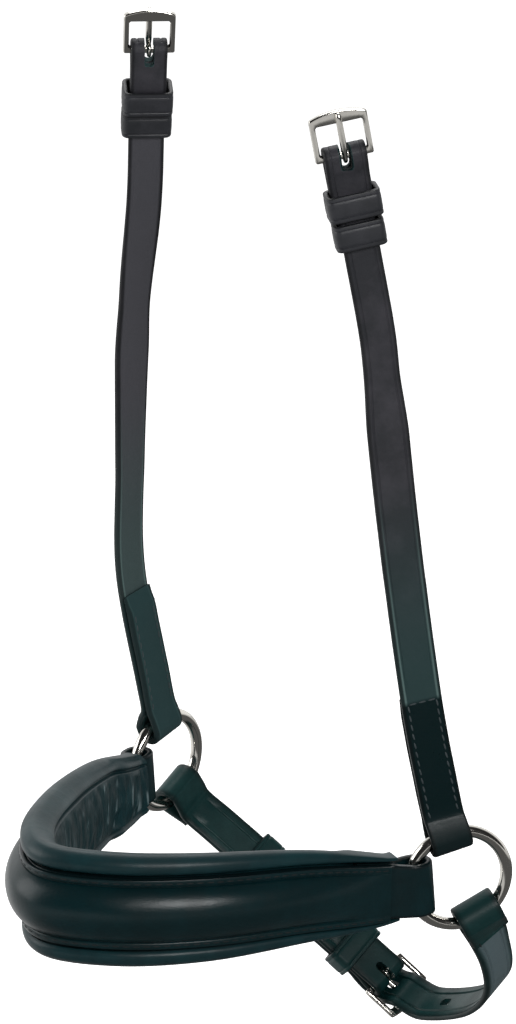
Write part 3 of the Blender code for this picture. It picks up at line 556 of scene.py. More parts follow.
@dataclass(frozen=True)
class BridleLeather:
    """Drum-dyed cowhide, waxed and rolled. To the eye it has a fine pebbled grain under a satin top,
    a green-black dye that looks lighter where the wax is rubbed off, and burnished, nearly black
    cut edges. A strap's lengths are in millimetres from its turned-in end above the ring."""

    name: str
    colour: str
    rubbed: str  # where the wax has been rubbed and the dye looks lighter
    roughness: float
    grain_mm: float = 0.9  # real grain is nearer 0.4 mm, too fine to show at this distance
    grain_depth_mm: float = 0.05
    rubbed_share: float = 0.5
    specular: float = 0.35
    coat: float = 0.0
    pucker: float = 0.0  # depth in mm of folds across the strap, a soft lining's
    glazed_to: float = 0.0  # where the sewn double layer ends, glazed, darker and shinier
    glaze: float = 1.0  # share of that glaze that shows
    glaze_colour: str = "#04191b"
    dye: str = ""  # the green-black cast near the ring, fading out further up
    flesh: str = ""  # the rubbed-down flesh side, duller and greyer

    PORE_MM = 0.35
    PATCH_MM = 14
    BURNISHED = "#07090a"
    LIP_HIGHLIGHT = "#566c6a"  # painted highlight on the raised lip beside a crease, where its gloss would catch the light
    CREST_HIGHLIGHT = "#7c8d90"  # painted highlight on the tops of the lining's folds, where they would catch the light
    DYE_FADES = (125.0, 205.0)
    GLAZE_FADES = 0.8  # to each side of the glaze's end
    FOLD_ENDS = (64.0, 74.0)  # the glaze is rough up to the fold round the ring and smooth past it
    FOLD_SCALE = (0.27, 0.07, 1.0)  # folds in a millimetre along and across the lining
    CREST_PATCH_SCALE = 0.09

    def material(self) -> bpy.types.Material:
        """Builds the leather's nodes.

        Returns:
            The material.
        """
        material, tree = new_material(self.name)
        where = add_node(tree, "ShaderNodeTexCoord").outputs["Object"]
        cells = add_node(
            tree,
            "ShaderNodeTexVoronoi",
            {"Vector": where, "Scale": 1000 / self.grain_mm, "Randomness": 0.9},
            feature="SMOOTH_F1",
        )
        pores, patches = (
            add_node(
                tree,
                "ShaderNodeTexNoise",
                {"Vector": where, "Scale": 1000 / size, "Detail": detail, "Roughness": 0.6},
            ).outputs["Fac"]
            for size, detail in ((self.PORE_MM, 3.0), (self.PATCH_MM, 4.0))
        )
        edge = add_node(tree, "ShaderNodeAttribute", attribute_name="edge").outputs["Fac"]
        rub = add_node(
            tree,
            "ShaderNodeMapRange",
            {"Value": patches, "From Min": 0.42, "From Max": 0.68, "To Max": self.rubbed_share},
        )
        tone = add_node(
            tree,
            "ShaderNodeMix",
            {0: rub.outputs[0], 6: linear(self.colour), 7: linear(self.rubbed)},
            data_type="RGBA",
        )
        rough = add_node(
            tree,
            "ShaderNodeMapRange",
            {
                "Value": patches,
                "From Min": 0.3,
                "From Max": 0.75,
                "To Min": self.roughness * 1.12,
                "To Max": self.roughness * 0.82,
            },
        )
        colour, roughness = tone.outputs[2], rough.outputs[0]
        if self.flesh:
            side = add_node(tree, "ShaderNodeAttribute", attribute_name="flesh").outputs["Fac"]
            behind = add_node(
                tree, "ShaderNodeMix", {0: side, 6: colour, 7: linear(self.flesh)}, data_type="RGBA"
            )
            colour = behind.outputs[2]
        if self.dye:
            colour = self.add_dye(tree, edge, colour)
        if self.glazed_to:
            colour, roughness = self.add_glaze(tree, colour, roughness)
        burnish = add_node(
            tree, "ShaderNodeMapRange", {"Value": edge, "From Min": 0.5, "From Max": 1.0, "To Max": 0.55}
        )
        shade = add_node(
            tree,
            "ShaderNodeMix",
            {0: burnish.outputs[0], 6: colour, 7: linear(self.BURNISHED)},
            data_type="RGBA",
        )
        colour = shade.outputs[2]
        height = add_node(tree, "ShaderNodeMath", {0: cells.outputs["Distance"], 1: pores}, operation="ADD")
        bump = add_node(
            tree,
            "ShaderNodeBump",
            {"Height": height.outputs[0], "Strength": 0.55, "Distance": self.grain_depth_mm * MM},
        )
        normal = bump.outputs["Normal"]
        if self.pucker:
            normal, colour = self.add_puckers(tree, edge, normal, colour)
        shader = add_node(
            tree,
            "ShaderNodeBsdfPrincipled",
            {
                "Base Color": colour,
                "Roughness": roughness,
                "IOR": 1.5,
                "Specular IOR Level": self.specular,
                "Coat Weight": self.coat,
                "Coat Roughness": 0.3,
                "Normal": normal,
            },
        )
        add_node(tree, "ShaderNodeOutputMaterial", {"Surface": shader.outputs["BSDF"]})
        return material

    def add_dye(
        self, tree: bpy.types.NodeTree, edge: bpy.types.NodeSocket, colour: bpy.types.NodeSocket
    ) -> bpy.types.NodeSocket:
        """Adds the green-black cast near the ring, with a painted highlight on the lips beside the creases
        there.

        Args:
            tree: the material's node tree.
            edge: nearness to the cut edge.
            colour: the colour so far.

        Returns:
            The colour with the cast and the painted lip highlight.
        """
        along = add_node(tree, "ShaderNodeAttribute", attribute_name="along").outputs["Fac"]
        start, end = self.DYE_FADES
        # fresh: share of the green-black cast, most near the ring and none further up
        fresh = add_node(
            tree,
            "ShaderNodeMapRange",
            {"Value": along, "From Min": start, "From Max": end, "To Min": 0.85, "To Max": 0.0},
            interpolation_type="SMOOTHSTEP",
        ).outputs[0]
        rise, fall = (
            add_node(
                tree,
                "ShaderNodeMapRange",
                {"Value": edge, "From Min": low, "From Max": high, "To Min": first, "To Max": 1.0 - first},
            ).outputs[0]
            for low, high, first in ((0.12, 0.4, 0.0), (0.6, 0.9, 1.0))
        )
        lip = add_node(tree, "ShaderNodeMath", {0: rise, 1: fall}, operation="MULTIPLY")
        # worn: where the painted lip highlight goes, beside the creases within the cast near the ring
        worn = add_node(tree, "ShaderNodeMath", {0: lip.outputs[0], 1: fresh}, operation="MULTIPLY")
        for share, tint in ((fresh, self.dye), (worn.outputs[0], self.LIP_HIGHLIGHT)):
            mixed = add_node(tree, "ShaderNodeMix", {0: share, 6: colour, 7: linear(tint)}, data_type="RGBA")
            colour = mixed.outputs[2]
        return colour

    def add_glaze(
        self, tree: bpy.types.NodeTree, colour: bpy.types.NodeSocket, roughness: bpy.types.NodeSocket
    ) -> tuple[bpy.types.NodeSocket, bpy.types.NodeSocket]:
        """Adds the dark, shinier glaze on the double layer above the ring.

        Args:
            tree: the material's node tree.
            colour: the colour so far.
            roughness: the roughness so far.

        Returns:
            The colour and the roughness with the glaze on them.
        """
        along = add_node(tree, "ShaderNodeAttribute", attribute_name="along").outputs["Fac"]
        ends = (self.glazed_to - self.GLAZE_FADES, self.glazed_to + self.GLAZE_FADES)
        gloss, fold = (
            add_node(
                tree,
                "ShaderNodeMapRange",
                {"Value": along, "From Min": low, "From Max": high, "To Min": first, "To Max": last},
            ).outputs[0]
            for (low, high), first, last in ((ends, self.glaze, 0.0), (self.FOLD_ENDS, 1.7, 0.62))
        )
        glazed = add_node(
            tree, "ShaderNodeMix", {0: gloss, 6: colour, 7: linear(self.glaze_colour)}, data_type="RGBA"
        )
        smoother = add_node(tree, "ShaderNodeMix", {0: gloss, 2: 1.0, 3: fold}, data_type="FLOAT")
        scaled = add_node(
            tree, "ShaderNodeMath", {0: roughness, 1: smoother.outputs[0]}, operation="MULTIPLY"
        )
        return glazed.outputs[2], scaled.outputs[0]

    def add_puckers(
        self,
        tree: bpy.types.NodeTree,
        edge: bpy.types.NodeSocket,
        normal: bpy.types.NodeSocket,
        colour: bpy.types.NodeSocket,
    ) -> tuple[bpy.types.NodeSocket, bpy.types.NodeSocket]:
        """Adds the folds that bending presses into soft leather, across the strap, and paints a highlight on
        their crests.

        Args:
            tree: the material's node tree.
            edge: the mark that is above 0 on the panel that folds.
            normal: the normal so far.
            colour: the colour so far.

        Returns:
            The normal with the folds on it, and the colour with a painted highlight on their crests.
        """
        along, across = (
            add_node(tree, "ShaderNodeAttribute", attribute_name=name).outputs["Fac"]
            for name in ("along", "across")
        )
        place = add_node(tree, "ShaderNodeCombineXYZ", {"X": along, "Y": across}).outputs[0]
        spaced = add_node(tree, "ShaderNodeMapping", {"Vector": place, "Scale": self.FOLD_SCALE})
        folds = add_node(
            tree,
            "ShaderNodeTexNoise",
            {"Vector": spaced.outputs[0], "Scale": 1.0, "Detail": 3.0, "Distortion": 0.4},
        ).outputs["Fac"]
        patches = add_node(
            tree, "ShaderNodeTexNoise", {"Vector": place, "Scale": self.CREST_PATCH_SCALE, "Detail": 1.0}
        ).outputs["Fac"]
        panel, flat, high, some = (
            add_node(
                tree,
                "ShaderNodeMapRange",
                {"Value": value, "From Min": low, "From Max": top, "To Min": first, "To Max": last},
            ).outputs[0]
            for value, low, top, first, last in (
                (edge, 0.1, 0.4, 0.06, 0.95),
                (edge, 0.15, 0.45, 0.0, 0.95),
                (folds, 0.56, 0.7, 0.0, 1.0),
                (patches, 0.48, 0.6, 0.0, 1.0),
            )
        )
        bump = add_node(
            tree,
            "ShaderNodeBump",
            {"Height": folds, "Strength": panel, "Distance": self.pucker * MM, "Normal": normal},
        )
        crest = add_node(tree, "ShaderNodeMath", {0: high, 1: some}, operation="MULTIPLY")
        share = add_node(tree, "ShaderNodeMath", {0: crest.outputs[0], 1: flat}, operation="MULTIPLY")
        # rubbed: the colour with the painted crest highlight mixed in
        rubbed = add_node(
            tree,
            "ShaderNodeMix",
            {0: share.outputs[0], 6: colour, 7: linear(self.CREST_HIGHLIGHT)},
            data_type="RGBA",
        )
        return bump.outputs["Normal"], rubbed.outputs[2]


@dataclass(frozen=True)
class PolishedNickel:
    """Nickel plate on steel, buffed. To the eye it is a warm white mirror, a little blurred in
    patches that fingers have dulled, with faint hairlines from wear."""

    name: str
    colour: str
    roughness: float
    hairline_mm: float = 0.5
    smear_mm: float = 6.0

    def material(self) -> bpy.types.Material:
        """Builds the metal's nodes.

        Returns:
            The material.
        """
        material, tree = new_material(self.name)
        where = add_node(tree, "ShaderNodeTexCoord").outputs["Object"]
        stretched = add_node(tree, "ShaderNodeMapping", {"Vector": where, "Scale": (1.0, 1.0, 0.2)})
        lines = add_node(
            tree,
            "ShaderNodeTexNoise",
            {"Vector": stretched.outputs[0], "Scale": 1000 / self.hairline_mm, "Detail": 4.0},
        )
        smear = add_node(
            tree, "ShaderNodeTexNoise", {"Vector": where, "Scale": 1000 / self.smear_mm, "Detail": 3.0}
        )
        rough = add_node(
            tree,
            "ShaderNodeMapRange",
            {
                "Value": smear.outputs["Fac"],
                "From Min": 0.35,
                "From Max": 0.7,
                "To Min": self.roughness * 0.7,
                "To Max": self.roughness * 1.6,
            },
        )
        bump = add_node(
            tree, "ShaderNodeBump", {"Height": lines.outputs["Fac"], "Strength": 0.25, "Distance": 0.01 * MM}
        )
        shader = add_node(
            tree,
            "ShaderNodeBsdfPrincipled",
            {
                "Base Color": linear(self.colour),
                "Metallic": 1.0,
                "Roughness": rough.outputs["Result"],
                "Normal": bump.outputs["Normal"],
            },
        )
        add_node(tree, "ShaderNodeOutputMaterial", {"Surface": shader.outputs["BSDF"]})
        return material


@dataclass(frozen=True)
class WaxedThread:
    """Waxed linen thread. To the eye each stitch is a small dark satin bead, with the slant of the
    thread's twist and a little fuzz."""

    name: str
    colour: str
    twist_mm: float = 0.5
    fuzz_mm: float = 0.8

    WAVE = 6.28  # draws the twist a little over twice as coarse, because the real one wouldn't show

    def material(self) -> bpy.types.Material:
        """Builds the thread's nodes.

        Returns:
            The material.
        """
        material, tree = new_material(self.name)
        where = add_node(tree, "ShaderNodeTexCoord").outputs["Object"]
        twist = add_node(
            tree,
            "ShaderNodeTexWave",
            {"Vector": where, "Scale": 1000 / self.twist_mm / self.WAVE, "Distortion": 1.5},
            bands_direction="DIAGONAL",
        )
        bump = add_node(
            tree, "ShaderNodeBump", {"Height": twist.outputs["Fac"], "Strength": 0.6, "Distance": 0.06 * MM}
        )
        fuzz = add_node(tree, "ShaderNodeTexNoise", {"Vector": where, "Scale": 1000 / self.fuzz_mm})
        rough = add_node(
            tree, "ShaderNodeMapRange", {"Value": fuzz.outputs["Fac"], "To Min": 0.45, "To Max": 0.7}
        )
        shader = add_node(
            tree,
            "ShaderNodeBsdfPrincipled",
            {
                "Base Color": linear(self.colour),
                "Roughness": rough.outputs["Result"],
                "Specular IOR Level": 0.4,
                "Normal": bump.outputs["Normal"],
            },
        )
        add_node(tree, "ShaderNodeOutputMaterial", {"Surface": shader.outputs["BSDF"]})
        return material


@dataclass(frozen=True)
class Finishes:
    """The object's finishes, one material each."""

    band: bpy.types.Material
    straps: dict[Side, bpy.types.Material]
    keeper: bpy.types.Material
    chin: bpy.types.Material
    billet: bpy.types.Material
    lining: bpy.types.Material
    nickel: bpy.types.Material
    thread: bpy.types.Material
    strap_thread: bpy.types.Material

    @classmethod
    def made(cls) -> Finishes:
        """Makes every material once."""
        # The cheek straps: neutral grey-black waxed leather, greener near the ring. The left one's glaze is
        # whole and black, and the right one's is thinner and greyer.
        straps = {
            side: BridleLeather(
                f"strap_leather_{side.value}",
                "#2b2c30",
                "#454349",
                0.50,
                grain_mm=1.3,
                grain_depth_mm=0.12,
                specular=0.2,
                glazed_to=119.5,
                glaze=glaze,
                glaze_colour=glaze_colour,
                dye=dye,
                flesh="#424247",
            )
            for side, glaze, glaze_colour, dye in (
                (Side.LEFT, 1.0, "#04191b", "#213a3a"),
                (Side.RIGHT, 0.8, "#1c383a", "#3a4c4b"),
            )
        }
        # The band: the smoothest and darkest leather, whose crown draws long soft highlights.
        band = BridleLeather("band_leather", "#031c1f", "#08272b", 0.32, specular=0.28, coat=0.05)
        # The keepers: thin, much handled leather, a neutral black with a clear satin edge.
        keeper = BridleLeather("keeper_leather", "#232529", "#3b3b41", 0.46, specular=0.4)
        # The chin strap: softer green-black leather, and its billet with the grey flesh side out, painted
        # lighter to stand for the white floor's reflection.
        chin = BridleLeather("chin_leather", "#0b2b2b", "#214241", 0.38, specular=0.2)
        # The billet's flesh grey is lightened: a painted reflection of the white floor.
        billet = replace(chin, name="billet_leather", flesh="#48565a")
        # The lining and rolls: soft leather, puckered behind, with grey streaks painted on the fold crests as
        # highlights.
        lining = BridleLeather("lining_leather", "#08262a", "#14363a", 0.40, specular=0.3, pucker=1.3)
        # Thread as dark as the cover it is sewn through; the straps' thread is painted greyer, standing
        # for the highlights on their stitches.
        thread = WaxedThread("waxed_thread", "#0f1a1c")
        return cls(
            band=band.material(),
            straps={side: leather.material() for side, leather in straps.items()},
            keeper=keeper.material(),
            chin=chin.material(),
            billet=billet.material(),
            lining=lining.material(),
            nickel=PolishedNickel("polished_nickel", "#dedbd4", 0.12).material(),
            thread=thread.material(),
            # the straps' thread: greyer, a painted highlight on the stitches
            strap_thread=replace(thread, name="stitch_highlight_waxed_thread", colour="#363f42").material(),
        )


def dress(
    piece: bpy.types.Object,
    material: bpy.types.Material,
    body: str,
    nodes: Sequence[str],
) -> None:
    """Gives a piece its finish and tells the frame what it rides on and stands for.

    Args:
        piece: the finished piece.
        material: its finish.
        body: the body it moves with.
        nodes: the solids it stands for.
    """
    piece.data.materials.clear()
    piece.data.materials.append(material)
    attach(piece, body)
    if nodes:
        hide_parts(*nodes)
    LOG.info("%s: %d faces, on %s", piece.name, len(piece.data.polygons), body)


# Rings


@dataclass(frozen=True)
class Ring:
    """A welded ring of round wire at one end of the noseband."""

    side: Side
    wire: float = 4.2 * MM
    mean_radius: float = 17.0 * MM
    spacing: float = 143.6 * MM
    bite: float = 0.45 * MM  # how far a strap's fold is pulled onto the wire

    TURNS = {Side.LEFT: math.radians(-29.1), Side.RIGHT: math.radians(5.9)}

    @property
    def turn(self) -> float:
        """Angle of the ring's forward direction from +X, in radians."""
        return self.TURNS[self.side]

    @property
    def centre(self) -> Vector:
        """Centre of the ring."""
        return Vector((0.0, self.side.sign * self.spacing / 2, 0.0))

    @property
    def forward(self) -> Vector:
        """Forward direction in the ring's plane."""
        return Vector((math.cos(self.turn), math.sin(self.turn), 0.0))

    @property
    def axis(self) -> Vector:
        """Direction of the ring's axis, towards the horse's left."""
        return Vector((0.0, 0.0, 1.0)).cross(self.forward)

    def direction(self, angle: float) -> Vector:
        """Direction in the ring's plane, at an angle up from forward."""
        return self.forward * math.cos(angle) + Vector((0.0, 0.0, math.sin(angle)))

    def wire_point(self, angle: float) -> Vector:
        """Point on the wire's middle line at an angle."""
        return self.centre + self.mean_radius * self.direction(angle)

    def angle_to(self, target: Vector) -> float:
        """Angle at which a strap to this target leaves straight away from the centre."""
        away = target - self.centre
        return math.atan2(away.z, away.dot(self.forward))

    def fold(self, width: float, slack: float, direction: Vector) -> tuple[float, Point2]:
        """Finds the hollow that a strap's fold needs to hold the curved wire.

        Args:
            width: width of the strap.
            slack: room round the wire.
            direction: direction in which the strap leaves the ring.

        Returns:
            The hollow's radius and its middle, as (distance along, outwards).
        """
        inward = -self.axis if self.side is Side.LEFT else self.axis
        tilt = math.asin(max(-1.0, min(1.0, direction.dot(inward))))
        rise = math.sqrt(self.mean_radius**2 - (width / 2) ** 2)
        sag = self.mean_radius - rise
        shift = sag * math.sin(abs(tilt)) / 2
        radius = self.wire / 2 * self.mean_radius / rise + slack + shift
        return radius, (-sag * math.cos(tilt) + slack - self.bite, -math.copysign(shift, tilt))

    def build(self, finishes: Finishes) -> None:
        """Spins the wire's round outline once about the ring's axis.

        Args:
            finishes: the object's materials.
        """
        bm = bmesh.new()
        lay = Matrix((self.forward, Vector((0.0, 0.0, 1.0)), -self.axis)).transposed().to_4x4()
        upright = Matrix.Rotation(math.radians(90), 4, "X")
        move = Matrix.Translation((self.mean_radius, 0.0, 0.0))
        bmesh.ops.create_circle(bm, segments=24, radius=self.wire / 2, matrix=lay @ move @ upright)
        bmesh.ops.spin(
            bm,
            geom=list(bm.verts) + list(bm.edges),
            cent=(0.0, 0.0, 0.0),
            axis=self.axis,
            angle=math.tau,
            steps=128,
            use_merge=True,
        )
        bmesh.ops.translate(bm, verts=bm.verts, vec=self.centre)
        name = f"ring_{self.side.value}"
        dress(new_piece(name + "_wire", bm, 60.0), finishes.nickel, name, [name])


# Noseband


@dataclass
class Noseband:
    """The padded band: a backing strap turned round both rings, a soft pad behind it, and a raised
    cover in front with a flat margin at each edge."""

    height: float = 40.6 * MM
    end_height: float = 22.0 * MM
    centre_height: float = 8.4 * MM
    drop: float = math.radians(4.5)
    level: float = 12.0 * MM
    plan: tuple[Point2, ...] = (
        (29.0, -66.0),
        (56.0, -53.5),
        (90.0, -35.0),
        (115.0, -17.0),
        (125.2, 2.5),
        (113.0, 25.0),
        (89.0, 42.5),
        (55.0, 53.5),
        (27.0, 60.0),
    )
    backing: float = 2.0 * MM
    width: float = 25.0 * MM
    end_width: float = 19.0 * MM
    turn_in: float = 22.0 * MM
    pad_depth: float = 8.6 * MM
    pad_end_depth: float = 3.2 * MM
    roll_proud: float = 2.2 * MM
    pad_start: float = 4.5 * MM
    pad_clears_fold: float = 2.4 * MM
    fold_ease: float = 8.0 * MM
    cover: float = 1.2 * MM
    crown: float = 5.0 * MM
    margin: float = 2.7 * MM
    cover_start: float = 8.8 * MM
    seam: float = 0.3 * MM
    loop_slack: float = 0.6 * MM
    fold_depth: float = 1.1 * MM  # of the lining's folds, deepest near the rings
    fold_pitch: float = 4.4 * MM
    folds_fade: float = 55 * MM
    swell_depth: float = 0.3 * MM  # of the slow unevenness of stuffed leather
    puff_depth: float = 0.12 * MM
    groove: float = 0.45 * MM  # sunk by the stitches beside the crown
    stitch_inset: float = 1.3 * MM
    crown_fullness: float = 0.72  # power of its round section, fuller the smaller
    pad_step: float = 1.1 * MM
    cover_step: float = 1.6 * MM
    stitching: Stitching = field(default_factory=Stitching)

    # Unevenness: the lengths along and across over which it changes, and where its noise is cut.
    BEND = (9 * MM, 11 * MM, 1.0)
    SWELL = (17 * MM, 30 * MM, 9.0)
    PUFF = (12 * MM, 9 * MM, 5.0)
    FOLD_WIDTH = 13 * MM
    CROWN_STEPS = 30
    ROLL = (  # the front roll: share of its height out from the channel, share of the way up to proud
        (0.0, 0.0),
        (0.10, 0.7),
    )
    ROLL_TOP = ((0.32, 0.0), (0.66, 0.06), (0.93, 0.35))  # the same, and how far it drops, in heights
    BACK = (  # the edge and back: share of the pad's half height, and of its depth behind the seat
        (1.0, 0.12),
        (0.96, 0.42),
        (0.88, 0.74),
        (0.78, 0.9),
        (0.70, 0.68),
        (0.66, 0.86),
        (0.62, 0.9),
        (0.42, 0.95),
        (0.16, 1.0),
    )

    def __post_init__(self) -> None:
        self.rings = {side: Ring(side) for side in Side}
        self.route = self.lay_route()
        self.length = self.route.length

    def rise(self, s: float, length: float) -> float:
        """0 at a ring and 1 at the front of the nose: how far the band has grown."""
        share = min(max(min(s, length - s) / (length / 2), 0.0), 1.0)
        return 1 - (1 - share) ** 2.5

    def lay_route(self) -> Route:
        """Lays the band from the right ring's wire round the nose to the left ring's.

        Returns:
            The band's route.
        """
        plan = [Vector((x, y, 0.0)) * MM for x, y in self.plan]
        right, left = self.rings[Side.RIGHT], self.rings[Side.LEFT]
        points = [right.wire_point(-self.drop), *plan, left.wire_point(-self.drop)]
        lengths = [0.0]
        for a, b in zip(points, points[1:]):
            lengths.append(lengths[-1] + (b.xy - a.xy).length)
        low = points[-1].z
        inner = lengths[-1] - 2 * self.level
        for point, s in zip(points, lengths):
            point.z = low + (self.centre_height - low) * self.rise(s - self.level, inner)
        up = Vector((0.0, 0.0, 1.0))
        ends = [ring.direction(math.pi / 2 - self.drop) for ring in (right, left)]
        return Route(points, [ends[0], *[up] * len(plan), ends[1]], True)

    def from_end(self, s: float) -> float:
        """Distance to the nearer ring's wire."""
        return min(s, self.length - s)

    def backing_width(self, s: float) -> float:
        """Width of the backing and of the cover sewn to it."""
        return self.end_width + (self.width - self.end_width) * self.rise(s, self.length)

    def stations(self, start: float, step: float) -> list[float]:
        """Distances along the band, the same distance short of either ring."""
        return [start, *spread(start, self.length - start, step), self.length - start]

    @staticmethod
    def uneven(s: float, x: float, kind: tuple[float, float, float]) -> float:
        """Unevenness of a kind, about -1 to 1, at a distance along and across the band."""
        along, across, level = kind
        return noise.noise(Vector((s / along, x / across, level)))

    def pad_cut(self, s: float) -> Cut:
        """Cuts the pad across: two rolls in front, a crowned back with the folds of soft leather.

        Args:
            s: distance along the band.

        Returns:
            The pad's outline there.
        """
        rise = self.rise(s, self.length)
        half = (self.end_height + (self.height - self.end_height) * rise) / 2
        channel = self.backing_width(s) / 2 + 2 * self.seam
        face = -self.backing / 2 - self.seam
        turned = face - self.backing - self.seam
        turned -= self.pad_clears_fold * max(0.0, 1 - self.from_end(s) / self.fold_ease)
        seat = ease(turned, face, (self.from_end(s) - self.turn_in - 1 * MM) / (10 * MM))
        proud = self.roll_proud * rise
        depth = self.pad_end_depth + (self.pad_depth - self.pad_end_depth) * rise
        roll = half - channel
        upper = [(channel + share * roll, seat + up * (proud - seat)) for share, up in self.ROLL]
        upper += [(channel + share * roll, proud - drop * roll) for share, drop in self.ROLL_TOP]
        upper += [(share * half, seat - behind * depth) for share, behind in self.BACK]
        outline = upper + [(-x, y) for x, y in reversed(upper)]
        curve = smooth_line([Vector((x, y, 0.0)) for x, y in outline], 4, closed=True)
        gather = self.fold_depth * ease(1.0, 0.4, (self.from_end(s) - self.pad_start) / self.folds_fade)
        place = self.route.at(s)
        points = []
        marks = []
        for spot in curve:
            behind = ease(0.0, 1.0, (seat - 0.5 * depth - spot.y) / (0.2 * depth))
            panel = behind * ease(1.0, 0.0, (abs(spot.x) / half - 0.52) / 0.14)
            bent = self.uneven(s, spot.x, self.BEND)
            where = Vector((s / self.fold_pitch + 1.3 * bent, spot.x / self.FOLD_WIDTH + 0.6 * bent, 3.0))
            fold = noise.noise(where) + 0.5 * noise.noise(where * 2.1)
            swell = self.uneven(s, spot.x, self.SWELL)
            out = spot.y + panel * gather * (fold - 0.1) + self.swell_depth * behind * (swell - 0.5)
            points.append(place.point + place.normal * out + place.across * spot.x)
            marks.append(0.4 * panel)
        across = [spot.x for spot in curve]
        return Cut(points, across, s, marks)

    def cover_lift(self, s: float) -> float:
        """Height of the crown over the margins."""
        rise = self.rise(self.from_end(s) - self.cover_start, self.length - 2 * self.cover_start)
        return self.crown * ease(0.0, 1.0, 1.25 * rise)

    def cover_cut(self, s: float) -> Cut:
        """Cuts the cover across: margins with rounded edges, a stitched-down groove, a crown.

        Args:
            s: distance along the band.

        Returns:
            The cover's outline there.
        """
        base = self.backing / 2 + self.seam
        top = base + self.cover
        half = self.backing_width(s) / 2
        inner = half - self.margin
        lift = self.cover_lift(s)
        settle = min(1.0, lift / (1.5 * MM))
        groove = self.groove * settle
        side = [
            (half, base),
            (half, top - 0.45 * MM),
            (half - 0.12 * MM, top - 0.14 * MM),
            (half - 0.42 * MM, top),
            (half - 0.8 * MM, top + 0.05 * MM),
            (inner + 0.75 * MM, top + 0.05 * MM),
            (inner + 0.42 * MM, top - 0.1 * MM),
            (inner + 0.2 * MM, top - groove),
            (inner, top - groove),
        ]
        crown = []
        for i in range(1, self.CROWN_STEPS):
            x = inner * math.cos(math.pi * i / self.CROWN_STEPS)
            swell = max(0.0, 1 - (x / inner) ** 2) ** self.crown_fullness
            crown.append((x, top - groove + (lift + groove) * swell))
        outline = side + crown + [(-x, y) for x, y in reversed(side)]
        place = self.route.at(s)
        points = []
        edge = []
        for x, y in outline:
            puff = self.puff_depth * self.uneven(s, x, self.PUFF) if abs(x) < inner else 0.0
            points.append(place.point + place.normal * (y + puff) + place.across * x)
            edge.append(ease(0.0, 1.0, (abs(x) - half + 0.6 * MM) / (0.5 * MM)))
        return Cut(points, [x for x, _ in outline], s, edge)

    def backing_profile(self) -> Profile:
        """The backing strap's run, turned round a ring's wire at each end."""
        ends = []
        away = {Side.RIGHT: self.route.at(0.0).along, Side.LEFT: -self.route.at(self.length).along}
        for side, direction in away.items():
            radius, middle = self.rings[side].fold(self.end_width, self.loop_slack, direction)
            tail = -self.backing - self.seam
            ends.append(turned_end(radius, middle, tail, self.turn_in, self.backing))
        right, left = ends
        places = spread(right[-1][0], self.length - left[-1][0], CURVED_RUN_STEP)
        run = [(s, 0.0) for s in places]
        return Profile(right + run + [(self.length - s, n) for s, n in reversed(left)])

    def build(self, finishes: Finishes) -> None:
        """Makes the pad, the cover, the backing and their stitches.

        Args:
            finishes: the object's materials.
        """
        pad_at = self.stations(self.pad_start, self.pad_step)
        pad = new_piece("padded_lining", Sweep().run([self.pad_cut(s) for s in pad_at]))
        dress(pad, finishes.lining, "noseband", ["noseband_pad"])
        cover_at = self.stations(self.cover_start, self.cover_step)
        cover = new_piece("raised_cover", Sweep().run([self.cover_cut(s) for s in cover_at]))
        dress(cover, finishes.band, "noseband", ["noseband_cover", "noseband_filler"])
        leather = StrapLeather(self.backing, 0.7 * MM)
        backing = sweep_strap(
            "backing_strap", self.route, self.backing_profile(), leather, self.backing_width, lambda s, n: 0.0
        )
        dress(backing, finishes.band, "noseband", ["noseband_backing"])
        bm = bmesh.new()
        face = self.backing / 2 + self.seam + self.cover + 0.05 * MM
        count = round((self.length - 2 * self.cover_start) / self.stitching.pitch)
        for sign in (1, -1):
            places = []
            for i in range(1, count):
                s = self.cover_start + (self.length - 2 * self.cover_start) * i / count
                across = sign * (self.backing_width(s) / 2 - self.stitch_inset)
                places.append(self.route.frame(s, face) @ Matrix.Translation((across, 0.0, 0.0)))
            self.stitching.row(bm, places)
        dress(new_piece("cover_stitches", bm), finishes.thread, "noseband", ())


# Keepers and buckles


